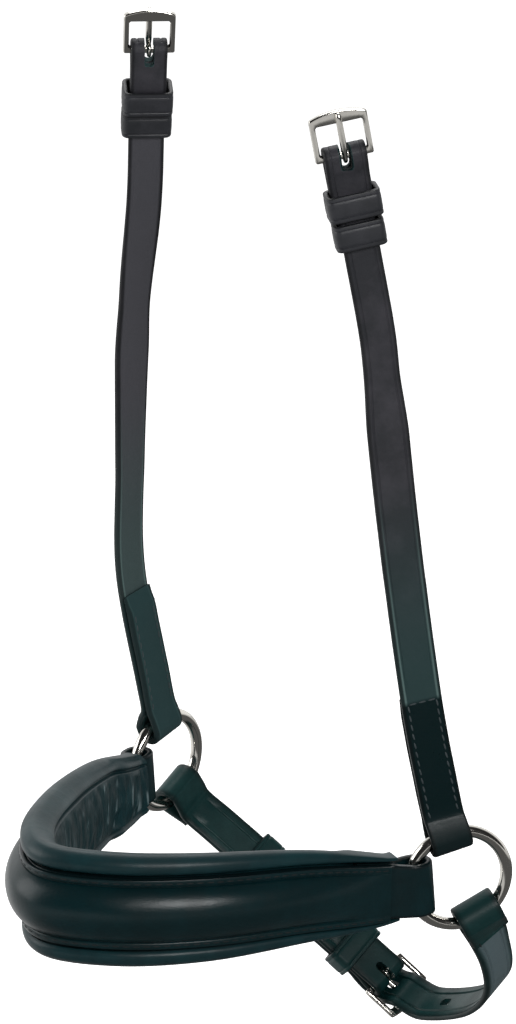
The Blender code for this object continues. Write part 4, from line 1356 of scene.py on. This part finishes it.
@dataclass(frozen=True)
class Keeper:
    """A loop of thin leather round a strap."""

    length: float = 8.8 * MM
    wall: float = 1.5 * MM
    play: float = 0.8 * MM
    corner: float = 0.9 * MM

    CORNER_STEPS = 6
    FACE = (  # outer face, from its cut edge to its middle, with a crease: millimetres in from the
        # edge, share of the wall's thickness, nearness to the edge for the finish
        (0.0, 0.35, 1.0),
        (0.0, 0.7, 1.0),
        (0.2, 0.93, 1.0),
        (0.55, 1.0, 0.6),
        (1.25, 1.0, 0.2),
        (1.5, 0.87, 0.2),
        (1.75, 1.0, 0.1),
    )

    def build(
        self, name: str, route: Route, s: float, strap_width: float, low: float, high: float
    ) -> bpy.types.Object:
        """Sweeps the wall's outline once round the strap.

        Args:
            name: name of the piece.
            route: way of the strap.
            s: the keeper's middle along it.
            strap_width: width of the strap.
            low: the hollow's inner face, outwards from the route.
            high: the hollow's outer face.

        Returns:
            The keeper.
        """
        frame = route.frame(s, (low + high) / 2)
        width, height = strap_width + 2 * self.play, high - low
        wall = self.wall_outline()
        step = 90 / self.CORNER_STEPS
        cuts = []
        gone = 0.0
        for sx, sy, start in ((1, -1, -90), (1, 1, 0), (-1, 1, 90), (-1, -1, 180)):
            centre = Vector((sx * (width / 2 - self.corner), sy * (height / 2 - self.corner), 0.0))
            for i in range(self.CORNER_STEPS + 1):
                angle = math.radians(start + step * i)
                out = Vector((math.cos(angle), math.sin(angle), 0.0))
                spots = [centre + out * (self.corner + depth) + Vector((0.0, 0.0, z)) for z, depth, _ in wall]
                points = [frame @ spot for spot in spots]
                cuts.append(Cut(points, [z for z, _, _ in wall], gone, [edge for _, _, edge in wall]))
                gone += self.corner * math.radians(step) if i else (width if sy * sx > 0 else height)
        return new_piece(name, Sweep().run(cuts, closed=True))

    def wall_outline(self) -> list[tuple[float, float, float]]:
        """Cuts the wall across its length.

        Returns:
            Points as (distance along the strap, distance out from the hollow, nearness to the edge).
        """
        half, wall = self.length / 2, self.wall
        points = [(half - inwards * MM, wall * depth, edge) for inwards, depth, edge in self.FACE]
        points.append((half * 0.4, wall * 1.05, 0.0))
        points += [(-z, depth, edge) for z, depth, edge in reversed(points)]
        points += [(-half + 0.3 * MM, 0.05 * wall, 1.0), (half - 0.3 * MM, 0.05 * wall, 1.0)]
        return points


@dataclass(frozen=True)
class Buckle:
    """A flat frame with an arched front bar, and a prong of wire bent round its heel bar. In its own
    axes X is across the strap, Y runs from the heel bar to the front and Z outwards."""

    strap_width: float
    length: float
    play: float = 0.7 * MM
    side: float = 1.8 * MM
    front: float = 3.4 * MM
    arch: float = 1.7 * MM
    thickness: float = 2.2 * MM
    heel: float = 2.2 * MM
    prong: float = 2.1 * MM
    prong_eye: float = 1.4 * MM
    prong_play: float = 0.2 * MM
    heel_play: float = 0.4 * MM  # round the heel bar in a strap's fold
    corner: float = 0.5 * MM
    rounding: float = 0.55 * MM
    slot_width: float = 3.2 * MM
    slot_low: float = -4.6 * MM  # from the heel bar down the strap
    slot_high: float = 9.0 * MM  # past the fold
    slot_cut: float = 14.0 * MM  # through all layers

    BAR_STEPS = 12
    SIDE_STEPS = 5
    WIRE_SIDES = 14

    @staticmethod
    def matrix(route: Route, s: float, tilt: float = 0.0) -> Matrix:
        """Matrix on a heel bar at a distance along a strap."""
        place = route.at(s)
        matrix = Matrix((place.along.cross(place.normal), place.along, place.normal)).transposed().to_4x4()
        matrix.translation = place.point
        return matrix @ Matrix.Rotation(tilt, 4, "X")

    def cut_slot(self, strap: bpy.types.Object, route: Route, s: float) -> None:
        """Cuts the prong's slot through a strap's fold round the heel bar.

        Args:
            strap: the strap.
            route: way of the strap.
            s: the heel bar's place along it.
        """
        punch(
            strap, self.matrix(route, s), self.slot_width, self.slot_low, self.slot_high, self.slot_cut
        )

    @property
    def hollow(self) -> float:
        """Radius of the hollow round the heel bar in a strap's fold."""
        return self.heel / 2 + self.heel_play

    @property
    def top(self) -> float:
        """Distance from the heel bar's middle to the top of the front bar's arch."""
        return self.length - self.heel / 2

    @property
    def front_inside(self) -> float:
        """Distance from the heel bar's middle to the front bar's inner face."""
        return self.top - self.arch / 2 - self.front

    def rims(self) -> tuple[list[Point2], list[Point2]]:
        """Traces the frame.

        Returns:
            Outer and inner outline with as many points each, from the front bar's right end round.
        """
        half = self.strap_width / 2 + self.play
        outer_half = half + self.side
        low, high = self.heel / 2, self.front_inside
        shoulder = self.top - self.arch
        corner = self.corner
        across = [1 - 2 * i / self.BAR_STEPS for i in range(self.BAR_STEPS + 1)]
        down = [i / self.SIDE_STEPS for i in range(1, self.SIDE_STEPS)]
        # The front bar, then the left side, the heel bar and the right side.
        outer = [((outer_half - 0.35 * MM) * x, shoulder + self.arch * (1 - x * x)) for x in across]
        inner = [((half - corner) * x, high) for x in across]
        side_top, side_low = shoulder - 0.6 * MM, -low + corner
        outer_side = [(-outer_half, side_top + (side_low - side_top) * share) for share in (0.0, *down)]
        outer_side.append((-outer_half, -low + 0.45 * MM))
        side_top, side_low = high - corner, low + corner
        inner_side = [(-half, side_top + (side_low - side_top) * share) for share in (0.0, *down, 1.0)]
        outer_heel = [((0.45 * MM - outer_half) * x, -low) for x in across]
        inner_heel = [((corner - half) * x, low) for x in across]
        outer += outer_side + outer_heel + [(-x, y) for x, y in reversed(outer_side)]
        inner += inner_side + inner_heel + [(-x, y) for x, y in reversed(inner_side)]
        return outer, inner

    def frame_mesh(self, matrix: Matrix) -> bmesh.types.BMesh:
        """Bridges the two outlines, gives the ring its thickness and rounds its edges.

        Args:
            matrix: place of the frame.

        Returns:
            The frame's mesh.
        """
        bm = bmesh.new()
        rims = []
        for outline in self.rims():
            verts = [bm.verts.new((x, y, -self.thickness / 2)) for x, y in outline]
            rims += [bm.edges.new(pair) for pair in zip(verts, verts[1:] + verts[:1])]
        bmesh.ops.bridge_loops(bm, edges=rims)
        made = bmesh.ops.extrude_face_region(bm, geom=list(bm.faces))["geom"]
        lifted = [item for item in made if isinstance(item, bmesh.types.BMVert)]
        bmesh.ops.translate(bm, verts=lifted, vec=(0.0, 0.0, self.thickness))
        bmesh.ops.recalc_face_normals(bm, faces=bm.faces)
        rims = [edge for edge in bm.edges if edge.calc_face_angle(0.0) > math.radians(50)]
        bmesh.ops.bevel(
            bm,
            geom=rims,
            offset=self.rounding,
            segments=4,
            profile=0.5,
            affect="EDGES",
            material=-1,
            clamp_overlap=True,
        )
        bmesh.ops.transform(bm, matrix=matrix, verts=bm.verts)
        return bm

    def prong_mesh(self, matrix: Matrix) -> bmesh.types.BMesh:
        """Sweeps the prong's round wire round the heel bar and onto the front bar.

        Args:
            matrix: place of the buckle.

        Returns:
            The prong's mesh.
        """
        eye = self.heel / 2 + self.prong_play + self.prong_eye / 2
        rest = self.thickness / 2 + 0.15 * MM + self.prong / 2
        tip = self.top - 0.6 * MM
        way = []
        for i in range(10):
            angle = math.radians(-15 - 255 * i / 9)
            way.append(Vector((eye * math.cos(angle), eye * math.sin(angle), self.prong_eye / 2)))
        way += [
            Vector((3.2 * MM, rest - 0.1 * MM, self.prong / 2)),
            Vector((tip - 3 * MM, rest, self.prong / 2)),
            Vector((tip - 0.9 * MM, rest - 0.1 * MM, 0.85 * self.prong / 2)),
            Vector((tip - 0.3 * MM, rest - 0.13 * MM, 0.6 * self.prong / 2)),
            Vector((tip, rest - 0.15 * MM, 0.2 * self.prong / 2)),
        ]
        line = smooth_line(way, 4)
        cuts = []
        for i, here in enumerate(line):
            run = (line[min(i + 1, len(line) - 1)].xy - line[max(i - 1, 0)].xy).normalized()
            across = Vector((1.0, 0.0, 0.0))
            out = Vector((0.0, -run.y, run.x))
            middle = Vector((0.0, here.x, here.y))
            points = []
            for k in range(self.WIRE_SIDES):
                angle = math.tau * k / self.WIRE_SIDES
                spot = middle + here.z * (across * math.cos(angle) + out * math.sin(angle))
                points.append(matrix @ spot)
            blank = [0.0] * self.WIRE_SIDES
            cuts.append(Cut(points, blank, 0.0, blank))
        return Sweep().run(cuts)


# Cheek straps


@dataclass
class CheekStrap:
    """A cheek strap: turned round its ring, sewn back above it, narrowed towards the top and turned
    round a buckle's heel bar, with a fixed and a running keeper below the buckle."""

    side: Side
    wide: float = 14.1 * MM
    narrow: float = 12.0 * MM
    narrows_at: float = 142.0 * MM
    narrows_over: float = 24.0 * MM
    turn_in: float = 52.0 * MM
    skived: float = 7.0 * MM
    widens_over: float = 10.0 * MM
    top_straight: float = 60.0 * MM
    turns_from: float = 140.0 * MM  # height at which the strap starts to turn out of the ring's plane
    turns_to: float = 222.0 * MM
    loop_slack: float = 0.6 * MM
    seam: float = 0.3 * MM
    billet_room: float = 3.0 * MM
    slide: float = 0.5 * MM
    keeper_gap: float = 1.0 * MM
    buckle_length: float = 16.2 * MM
    stitch_inset: float = 2.1 * MM
    leather: StrapLeather = field(default_factory=StrapLeather)
    keeper: Keeper = field(default_factory=Keeper)
    stitching: Stitching = field(default_factory=Stitching)

    WAYS = {
        Side.LEFT: ((7.3, 68.7, 33.0), (12.7, 65.5, 66.0), (17.5, 59.7, 120.0), (19.9, 53.7, 172.0)),
        Side.RIGHT: ((7.6, -71.4, 34.0), (13.8, -74.6, 76.0), (16.7, -71.1, 116.0), (20.9, -64.1, 172.0)),
    }
    TOPS = {Side.LEFT: (31.2, 46.2, 252.0), Side.RIGHT: (35.8, -39.2, 272.6)}
    TOP_DIRECTIONS = {Side.LEFT: (9.7, -5.9, 60.0), Side.RIGHT: (11.3, 15.2, 58.5)}
    TOP_TURNS = {Side.LEFT: math.radians(-36.0), Side.RIGHT: math.radians(-39.0)}
    CHAPES = {Side.LEFT: 14.0 * MM, Side.RIGHT: 12.0 * MM}
    KEEPERS_FROM_BAR = {Side.LEFT: 16.2 * MM, Side.RIGHT: 18.6 * MM}

    def __post_init__(self) -> None:
        self.ring = Ring(self.side)
        self.layer = self.leather.thickness + self.seam
        self.chape_width = self.CHAPES[self.side]
        self.keeper_from_bar = self.KEEPERS_FROM_BAR[self.side]
        self.route = self.lay_route()
        self.bar = self.route.length
        self.buckle = Buckle(self.chape_width, self.buckle_length)

    def lay_route(self) -> Route:
        """Lays the strap from the ring's wire to the heel bar.

        Returns:
            The strap's route.
        """
        way = [Vector(point) * MM for point in self.WAYS[self.side]]
        angle = self.ring.angle_to(way[0])
        wire = self.ring.wire_point(angle)
        top = Vector(self.TOPS[self.side]) * MM
        direction = Vector(self.TOP_DIRECTIONS[self.side]).normalized()
        straight = [top - direction * self.top_straight * share for share in (1.0, 0.5, 0.0)]
        points = [wire, *way, *straight]
        across = [self.side.sign * self.ring.direction(angle - math.pi / 2)]
        for point in points[1:]:
            share = (point.z - self.turns_from) / (self.turns_to - self.turns_from)
            turn = ease(self.ring.turn, self.TOP_TURNS[self.side], share)
            across.append(self.side.sign * Vector((math.cos(turn), math.sin(turn), 0.0)))
        return Route(points, across, False)

    def width(self, s: float) -> float:
        """Width of the strap at a distance from the ring."""
        narrowed = ease(self.wide, self.narrow, (s - self.narrows_at) / self.narrows_over)
        widens_at = self.bar - self.keeper_from_bar - self.keeper.length / 2
        return narrowed + ease(0.0, self.chape_width - self.narrow, (s - widens_at) / self.widens_over)

    def profile(self) -> Profile:
        """The strap's run, from the tail above the ring to the tail below the buckle."""
        radius, middle = self.ring.fold(self.wide, self.loop_slack, self.route.at(0.0).along)
        thickness = self.leather.thickness
        lower = turned_end(radius, middle, -self.layer, self.turn_in, thickness)
        turn_in = self.keeper_from_bar + self.keeper.length / 2 - self.seam
        chape = turned_end(self.buckle.hollow, (0.0, 0.0), -self.layer, turn_in, thickness)
        upper = [(self.bar - s, n) for s, n in reversed(chape)]
        run = [(s, 0.0) for s in spread(lower[-1][0], upper[0][0], RUN_STEP)]
        return Profile(lower + run + upper)

    def crease(self, s: float, out: float) -> float:
        """Depth of the creases: none where the strap is doubled."""
        return ease(0.0, 1.0, (s - self.turn_in - 1 * MM) / CREASE_FADES) if out > -1 * MM else 0.0

    def build(self, finishes: Finishes) -> None:
        """Makes the strap, its stitches, keepers and buckle.

        Args:
            finishes: the object's materials.
        """
        side = self.side.value
        body = f"cheek_{side}"
        strap = sweep_strap(
            f"cheek_leather_{side}",
            self.route,
            self.profile(),
            self.leather,
            self.width,
            self.crease,
            self.skived,
        )
        self.buckle.cut_slot(strap, self.route, self.bar)
        dress(strap, finishes.straps[self.side], body, [f"cheek_strap_{side}"])
        self.sew(finishes, body)
        high = self.leather.thickness / 2 + self.billet_room
        fixed_at = self.bar - self.keeper_from_bar
        low = -self.leather.thickness / 2 - self.layer - self.seam
        fixed_width = (self.narrow + self.chape_width) / 2
        fixed = self.keeper.build(f"sewn_keeper_{side}", self.route, fixed_at, fixed_width, low, high)
        dress(fixed, finishes.keeper, body, [f"fixed_keeper_{side}"])
        running_at = fixed_at - self.keeper.length - self.keeper_gap
        low = -self.leather.thickness / 2 - self.slide
        running = self.keeper.build(f"loose_keeper_{side}", self.route, running_at, self.narrow, low, high)
        dress(running, finishes.keeper, f"running_keeper_{side}", [f"running_keeper_{side}"])
        matrix = Buckle.matrix(self.route, self.bar)
        frame = new_piece(f"buckle_frame_{side}", self.buckle.frame_mesh(matrix), 50.0)
        dress(frame, finishes.nickel, f"cheek_buckle_{side}", [f"cheek_buckle_{side}"])
        prong = new_piece(f"buckle_prong_{side}", self.buckle.prong_mesh(matrix), 60.0)
        dress(prong, finishes.nickel, f"cheek_prong_{side}", [f"cheek_prong_{side}"])

    def sew(self, finishes: Finishes, body: str) -> None:
        """Sews the turned-in layers: a row along each edge, and one across the end above the ring.

        Args:
            finishes: the object's materials.
            body: the body that the strap rides on.
        """
        bm = bmesh.new()
        half = self.leather.thickness / 2
        front = (half, self.turn_in - 1.5 * MM)
        behind = (-self.layer - half, self.turn_in - self.skived)
        for sign in (1, -1):
            across = sign * (self.wide / 2 - self.stitch_inset)
            for out, end in (front, behind):
                self.stitching.row(bm, self.stitching.along(self.route, 8 * MM, end, out, across))
        sideways = Matrix.Rotation(math.radians(90), 4, "Y")
        end = self.route.frame(self.turn_in - 1.6 * MM, half) @ sideways
        pitch = self.stitching.pitch
        self.stitching.row(bm, [end @ Matrix.Translation((0.0, 0.0, z)) for z in (-pitch, 0.0, pitch)])
        stitches = new_piece(f"cheek_stitches_{self.side.value}", bm)
        dress(stitches, finishes.strap_thread, body, ())


# Chin strap


@dataclass
class ChinStrap:
    """The chin strap: a buckle strap from the right ring and a pointed billet from the left ring,
    fastened under the jaw, on one route in a plane that slopes down and back."""

    width: float = 15.2 * MM
    slope: float = math.radians(60.0)
    way: tuple[Point2, ...] = (
        (-54.5, 36.5),
        (-36.0, 56.0),
        (-18.0, 75.0),
        (-4.0, 89.5),
        (6.5, 96.5),
        (19.5, 94.0),
        (45.0, 79.0),
        (63.5, 59.5),
        (71.5, 38.0),
    )
    bar: float = 99.0 * MM
    buckle_tilt: float = math.radians(6.0)
    turn_in: float = 9.5 * MM
    tail: float = 68.0 * MM
    tip: float = 12.0 * MM
    loop_slack: float = 1.1 * MM
    seam: float = 0.3 * MM
    slide: float = 0.5 * MM
    billet_room: float = 3.0 * MM
    keeper_from_bar: float = 15.2 * MM
    running_keeper_at: float = 38.0 * MM
    buckle_length: float = 15.5 * MM
    stitch_inset: float = 2.2 * MM
    hole_width: float = 3.2 * MM
    hole_length: float = 6.6 * MM
    hole_from_bar: float = 5.8 * MM
    hole_spacing: float = 28.5 * MM
    leather: StrapLeather = field(
        default_factory=lambda: StrapLeather(
            crease_inset=3.4 * MM, crease_width=1.1 * MM, crease_depth=0.5 * MM, crease_behind=1.0
        )
    )
    keeper: Keeper = field(default_factory=Keeper)
    stitching: Stitching = field(default_factory=Stitching)

    def __post_init__(self) -> None:
        self.rings = {side: Ring(side) for side in Side}
        self.layer = self.leather.thickness + self.seam
        self.route = self.lay_route()
        self.length = self.route.length
        self.buckle = Buckle(self.width, self.buckle_length)
        self.chape_turn_in = self.keeper_from_bar + self.keeper.length / 2 - self.seam

    def lay_route(self) -> Route:
        """Lays both straps' common route from the right ring to the left ring.

        Returns:
            The route.
        """
        down = Vector((-math.cos(self.slope), 0.0, -math.sin(self.slope)))
        inner = [down * d * MM + Vector((0.0, y * MM, 0.0)) for y, d in self.way]
        ends = []
        edges = []
        for side, target in ((Side.RIGHT, inner[0]), (Side.LEFT, inner[-1])):
            angle = self.rings[side].angle_to(target)
            ends.append(self.rings[side].wire_point(angle))
            edges.append(self.rings[side].direction(angle + math.pi / 2))
        middle = Vector((math.sin(self.slope), 0.0, -math.cos(self.slope)))
        across = [edges[0], *[middle] * len(inner), edges[1]]
        return Route([ends[0], *inner, ends[1]], across, True)

    def loop(self, side: Side, direction: Vector) -> list[Point2]:
        """Run of a loop round a ring, its tail sewn on outside the strap."""
        radius, middle = self.rings[side].fold(self.width, self.loop_slack, direction)
        return turned_end(radius, middle, self.layer, self.turn_in, self.leather.thickness)

    def strap_profile(self) -> Profile:
        """The buckle strap's run, from its loop on the right ring to its chape."""
        lower = self.loop(Side.RIGHT, self.route.at(0.0).along)
        thickness = self.leather.thickness
        chape = turned_end(self.buckle.hollow, (0.0, 0.0), -self.layer, self.chape_turn_in, thickness)
        upper = [(self.bar - s, n) for s, n in reversed(chape)]
        run = [(s, 0.0) for s in spread(lower[-1][0], upper[0][0], RUN_STEP)]
        return Profile(lower + run + upper)

    def billet_profile(self) -> Profile:
        """The billet's run, from its loop on the left ring, under the buckle's front bar, over the
        heel bar and along the outside of the buckle strap to its tip."""
        loop = self.loop(Side.LEFT, -self.route.at(self.length).along)
        thickness = self.leather.thickness
        front = self.buckle.front_inside + self.buckle.front / 2
        below = front * math.sin(self.buckle_tilt) - 1.1 * MM - self.seam - thickness / 2
        over = self.buckle.hollow + self.seam + 1.5 * thickness
        way = [
            (self.bar + front + 9 * MM, 0.0),
            (self.bar + front + 2.5 * MM, min(0.0, below)),
            (self.bar + front - 2.5 * MM, min(0.1 * MM, below)),
            (self.bar + 5.4 * MM, over * 0.62),
            (self.bar + 2.2 * MM, over * 0.97),
            (self.bar - 2.4 * MM, over),
            (self.bar - 6.5 * MM, (over + self.layer) / 2),
            (self.bar - 10.5 * MM, self.layer),
        ]
        tip = self.bar - self.tail
        start = self.length - loop[-1][0]
        run = [(s, 0.0) for s in spread(start, way[0][0], CURVED_RUN_STEP)]
        tail = [(s, self.layer) for s in spread(way[-1][0], tip + self.tip, RUN_STEP)]
        point = [(tip + self.tip * share, self.layer) for share in (1.0, 0.7, 0.45, 0.25, 0.1, 0.0)]
        return Profile([(self.length - s, n) for s, n in loop] + run + way + tail + point)

    def billet_width(self, s: float) -> float:
        """Width of the billet, drawn in to a round point at its tip."""
        share = min(max((s - self.bar + self.tail) / self.tip, 0.0), 1.0)
        return self.width * (0.28 + 0.72 * math.sqrt(1 - (1 - share) ** 2))

    def strap_crease(self, s: float, out: float) -> float:
        """Depth of the buckle strap's creases: none on its loop and chape."""
        inside = min(s - self.turn_in, self.bar - self.chape_turn_in - s)
        return ease(0.0, 0.6, inside / CREASE_FADES) if abs(out) < 1 * MM else 0.0

    def billet_crease(self, s: float, out: float) -> float:
        """Depth of the billet's creases: none on its loop and at its tip."""
        loop = self.length - self.turn_in - s if out < 1 * MM or s > self.bar + 20 * MM else 1.0
        return ease(0.0, 1.0, min(loop, s - self.bar + self.tail - self.tip) / CREASE_FADES)

    def build(self, finishes: Finishes) -> None:
        """Makes both straps, the buckle, the keepers and the stitches.

        Args:
            finishes: the object's materials.
        """
        strap = sweep_strap(
            "chin_buckle_strap",
            self.route,
            self.strap_profile(),
            self.leather,
            lambda s: self.width,
            self.strap_crease,
        )
        self.buckle.cut_slot(strap, self.route, self.bar)
        dress(strap, finishes.chin, "chin", ["chin_strap"])
        billet = sweep_strap(
            "chin_billet_strap",
            self.route,
            self.billet_profile(),
            self.leather,
            self.billet_width,
            self.billet_crease,
        )
        # Each hole's number from the one in use, and the billet's height over the route there.
        for i, height in ((-1, self.layer), (0, 3.1 * MM), (1, 0.0)):
            s = self.bar + self.hole_from_bar + i * self.hole_spacing
            place = Buckle.matrix(self.route, s) @ Matrix.Translation((0.0, 0.0, height))
            punch(billet, place, self.hole_width, -self.hole_length / 2, self.hole_length / 2, 5.5 * MM)
        dress(billet, finishes.billet, "chin", ["chin_billet"])
        high = self.leather.thickness / 2 + self.billet_room
        low = -self.leather.thickness / 2 - self.layer - self.seam
        fixed_at = self.bar - self.keeper_from_bar
        fixed = self.keeper.build("chin_sewn_keeper", self.route, fixed_at, self.width, low, high)
        dress(fixed, finishes.chin, "chin", ["chin_fixed_keeper"])
        low = -self.leather.thickness / 2 - self.slide
        running = self.keeper.build(
            "chin_loose_keeper", self.route, self.running_keeper_at, self.width, low, high + self.slide
        )
        dress(running, finishes.chin, "chin_running_keeper", ["chin_running_keeper"])
        matrix = Buckle.matrix(self.route, self.bar, self.buckle_tilt)
        frame = new_piece("chin_buckle_frame", self.buckle.frame_mesh(matrix), 50.0)
        dress(frame, finishes.nickel, "chin", ["chin_buckle"])
        prong = new_piece("chin_buckle_prong", self.buckle.prong_mesh(matrix), 60.0)
        dress(prong, finishes.nickel, "chin", ["chin_prong"])
        self.sew(finishes)

    def sew(self, finishes: Finishes) -> None:
        """Sews both loops with a short row along each edge.

        Args:
            finishes: the object's materials.
        """
        bm = bmesh.new()
        out = self.layer + self.leather.thickness / 2
        near, far = 6.5 * MM, 11.2 * MM
        for sign in (1, -1):
            across = sign * (self.width / 2 - self.stitch_inset)
            for start, end in ((near, far), (self.length - far, self.length - near)):
                self.stitching.row(bm, self.stitching.along(self.route, start, end, out, across))
        dress(new_piece("chin_stitches", bm), finishes.thread, "chin", ())


# Studio


@dataclass(frozen=True)
class Studio:
    """White room, soft lamps and the photograph's camera."""

    azimuth: float = math.radians(135.47)
    elevation: float = math.radians(19.43)
    distance: float = 1.503
    aside: float = -17.21 * MM
    above: float = 106.14 * MM
    lens: float = 151.65
    floor_height: float = -0.42
    floor_glow: float = 0.8
    room_light: float = 0.3
    room_dimmest: float = 0.02  # mirrored, on the photographer's side

    WHITE = "#ffffff"
    LAMPS = (  # name, place right, up and back along the camera's axes, width and height, watts
        ("key", (0.66, 0.3, 1.58), (0.9, 0.3), 17.0),
        ("window", (-1.6, 0.5, 0.1), (1.2, 1.2), 14.0),
        ("top", (0.0, 1.7, -0.3), (1.2, 1.2), 16.0),
    )
    AIM = Vector((0.03, 0.0, 0.08))
    POOLS = (  # metres right and towards the camera, inner and outer radius, level inside and beyond
        (-1.3, -0.9, 0.9, 1.6, 1.0, 0.05),
        (0.9, 0.4, 1.2, 2.0, 0.1, 0.6),
    )

    def axes(self) -> tuple[Vector, Vector, Vector]:
        """The camera's right, up and back directions."""
        flat = math.cos(self.elevation)
        east, south = math.sin(self.azimuth) * flat, math.cos(self.azimuth) * flat
        back = Vector((east, -south, math.sin(self.elevation)))
        right = (-back).cross(Vector((0.0, 0.0, 1.0))).normalized()
        return right, right.cross(-back), back

    def build(self) -> None:
        """Sets the camera, the floor, the world and the lamps."""
        right, up, back = self.axes()
        camera = bpy.data.cameras.new("photo_camera")
        camera.lens = self.lens
        camera.sensor_width = 36.0
        camera.clip_start = 0.05
        holder = bpy.data.objects.new("photo_camera", camera)
        matrix = Matrix((right, up, back)).transposed().to_4x4()
        matrix.translation = back * self.distance + right * self.aside + up * self.above
        holder.matrix_world = matrix
        bpy.context.scene.collection.objects.link(holder)
        bpy.context.scene.camera = holder
        self.add_floor()
        self.add_world()
        for name, (x, y, z), size, power in self.LAMPS:
            self.add_lamp(name, self.AIM + right * x + up * y + back * z, size, power)
        bpy.context.scene.view_settings.view_transform = "Standard"

    def add_lamp(self, name: str, place: Vector, size: Point2, power: float) -> None:
        """Hangs a soft lamp, turned to the object.

        Args:
            name: name of the lamp.
            place: where it hangs.
            size: its width and height.
            power: its power in watts.
        """
        light = bpy.data.lights.new(name, "AREA")
        light.shape = "RECTANGLE"
        light.size, light.size_y = size
        light.energy = power
        holder = bpy.data.objects.new(name, light)
        holder.location = place
        holder.rotation_euler = (self.AIM - place).to_track_quat("-Z", "Y").to_euler()
        bpy.context.scene.collection.objects.link(holder)

    @staticmethod
    def seen_directly(tree: bpy.types.NodeTree, path: bpy.types.ShaderNode) -> bpy.types.NodeSocket:
        """Tells what the camera sees itself, or through something clear, from mirrored and lit views.

        Args:
            tree: the node tree.
            path: the tree's light path.

        Returns:
            One for a direct view, else nought.
        """
        direct = add_node(
            tree,
            "ShaderNodeMath",
            {0: path.outputs["Is Camera Ray"], 1: path.outputs["Is Transmission Ray"]},
            operation="MAXIMUM",
        )
        return direct.outputs[0]

    def add_floor(self) -> None:
        """Lays a wide pale floor far enough below for its shadow to stay soft. Mirrored, it is white
        behind the object on the left, and dim round the object's own foot."""
        right, _, back = self.axes()
        bm = bmesh.new()
        bmesh.ops.create_grid(bm, x_segments=1, y_segments=1, size=8.0)
        bmesh.ops.translate(bm, verts=bm.verts, vec=(0.0, 0.0, self.floor_height))
        floor = new_piece("floor", bm)
        material, tree = new_material("pale_floor")
        path = add_node(tree, "ShaderNodeLightPath")
        where = add_node(tree, "ShaderNodeTexCoord").outputs["Object"]
        toward = Vector((back.x, back.y, 0.0)).normalized()
        levels = []
        for aside, near, inner, outer, level, beyond in self.POOLS:
            spot = right * aside + toward * near
            spot.z = self.floor_height
            away = add_node(tree, "ShaderNodeVectorMath", {0: where, 1: spot}, operation="DISTANCE")
            pool = add_node(
                tree,
                "ShaderNodeMapRange",
                {
                    "Value": away.outputs["Value"],
                    "From Min": inner,
                    "From Max": outer,
                    "To Min": level,
                    "To Max": beyond,
                },
                interpolation_type="SMOOTHSTEP",
            )
            levels.append(pool.outputs["Result"])
        brighter = add_node(tree, "ShaderNodeMath", {0: levels[0], 1: levels[1]}, operation="MAXIMUM")
        mirrored = add_node(
            tree, "ShaderNodeEmission", {"Color": linear(self.WHITE), "Strength": brighter.outputs[0]}
        )
        matte = add_node(tree, "ShaderNodeBsdfDiffuse", {"Color": linear("#f4f4f4")})
        glow = add_node(
            tree, "ShaderNodeEmission", {"Color": linear(self.WHITE), "Strength": self.floor_glow}
        )
        white = add_node(tree, "ShaderNodeAddShader", {0: matte.outputs[0], 1: glow.outputs[0]})
        direct = self.seen_directly(tree, path)
        seen = add_node(tree, "ShaderNodeMixShader", {0: direct, 1: matte.outputs[0], 2: white.outputs[0]})
        glossy = path.outputs["Is Glossy Ray"]
        shown = add_node(tree, "ShaderNodeMixShader", {0: glossy, 1: seen.outputs[0], 2: mirrored.outputs[0]})
        add_node(tree, "ShaderNodeOutputMaterial", {"Surface": shown.outputs[0]})
        floor.data.materials.append(material)

    def add_world(self) -> None:
        """Makes the room white where it is seen. Mirrored, it is white behind the object and dim on
        the photographer's side, and as a light it is softer."""
        world = bpy.data.worlds.new("white_room")
        world.use_nodes = True
        tree = world.node_tree
        tree.nodes.clear()
        back = self.axes()[2]
        path = add_node(tree, "ShaderNodeLightPath")
        where = add_node(tree, "ShaderNodeTexCoord").outputs["Generated"]
        behind = Vector((-back.x, -back.y, -0.4)).normalized()
        side = add_node(tree, "ShaderNodeVectorMath", {0: where, 1: behind}, operation="DOT_PRODUCT")
        dim = add_node(
            tree,
            "ShaderNodeMapRange",
            {
                "Value": side.outputs["Value"],
                "From Min": -0.1,
                "From Max": 0.4,
                "To Min": self.room_dimmest,
                "To Max": 1.0,
            },
            interpolation_type="SMOOTHSTEP",
        )
        lit = add_node(
            tree, "ShaderNodeBackground", {"Color": linear(self.WHITE), "Strength": self.room_light}
        )
        mirrored = add_node(
            tree, "ShaderNodeBackground", {"Color": linear(self.WHITE), "Strength": dim.outputs["Result"]}
        )
        white = add_node(tree, "ShaderNodeBackground", {"Color": linear(self.WHITE), "Strength": 1.0})
        glossy = path.outputs["Is Glossy Ray"]
        indirect = add_node(
            tree, "ShaderNodeMixShader", {0: glossy, 1: lit.outputs[0], 2: mirrored.outputs[0]}
        )
        direct = self.seen_directly(tree, path)
        mixed = add_node(
            tree, "ShaderNodeMixShader", {0: direct, 1: indirect.outputs[0], 2: white.outputs[0]}
        )
        add_node(tree, "ShaderNodeOutputWorld", {"Surface": mixed.outputs[0]})
        bpy.context.scene.world = world


def main() -> None:
    """Builds the studio and every sub-assembly in order."""
    logging.basicConfig(level=logging.INFO, format="%(message)s")
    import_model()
    Studio().build()
    finishes = Finishes.made()
    for side in Side:
        Ring(side).build(finishes)
    Noseband().build(finishes)
    for side in Side:
        CheekStrap(side).build(finishes)
    ChinStrap().build(finishes)


if __name__ == "__main__":
    main()
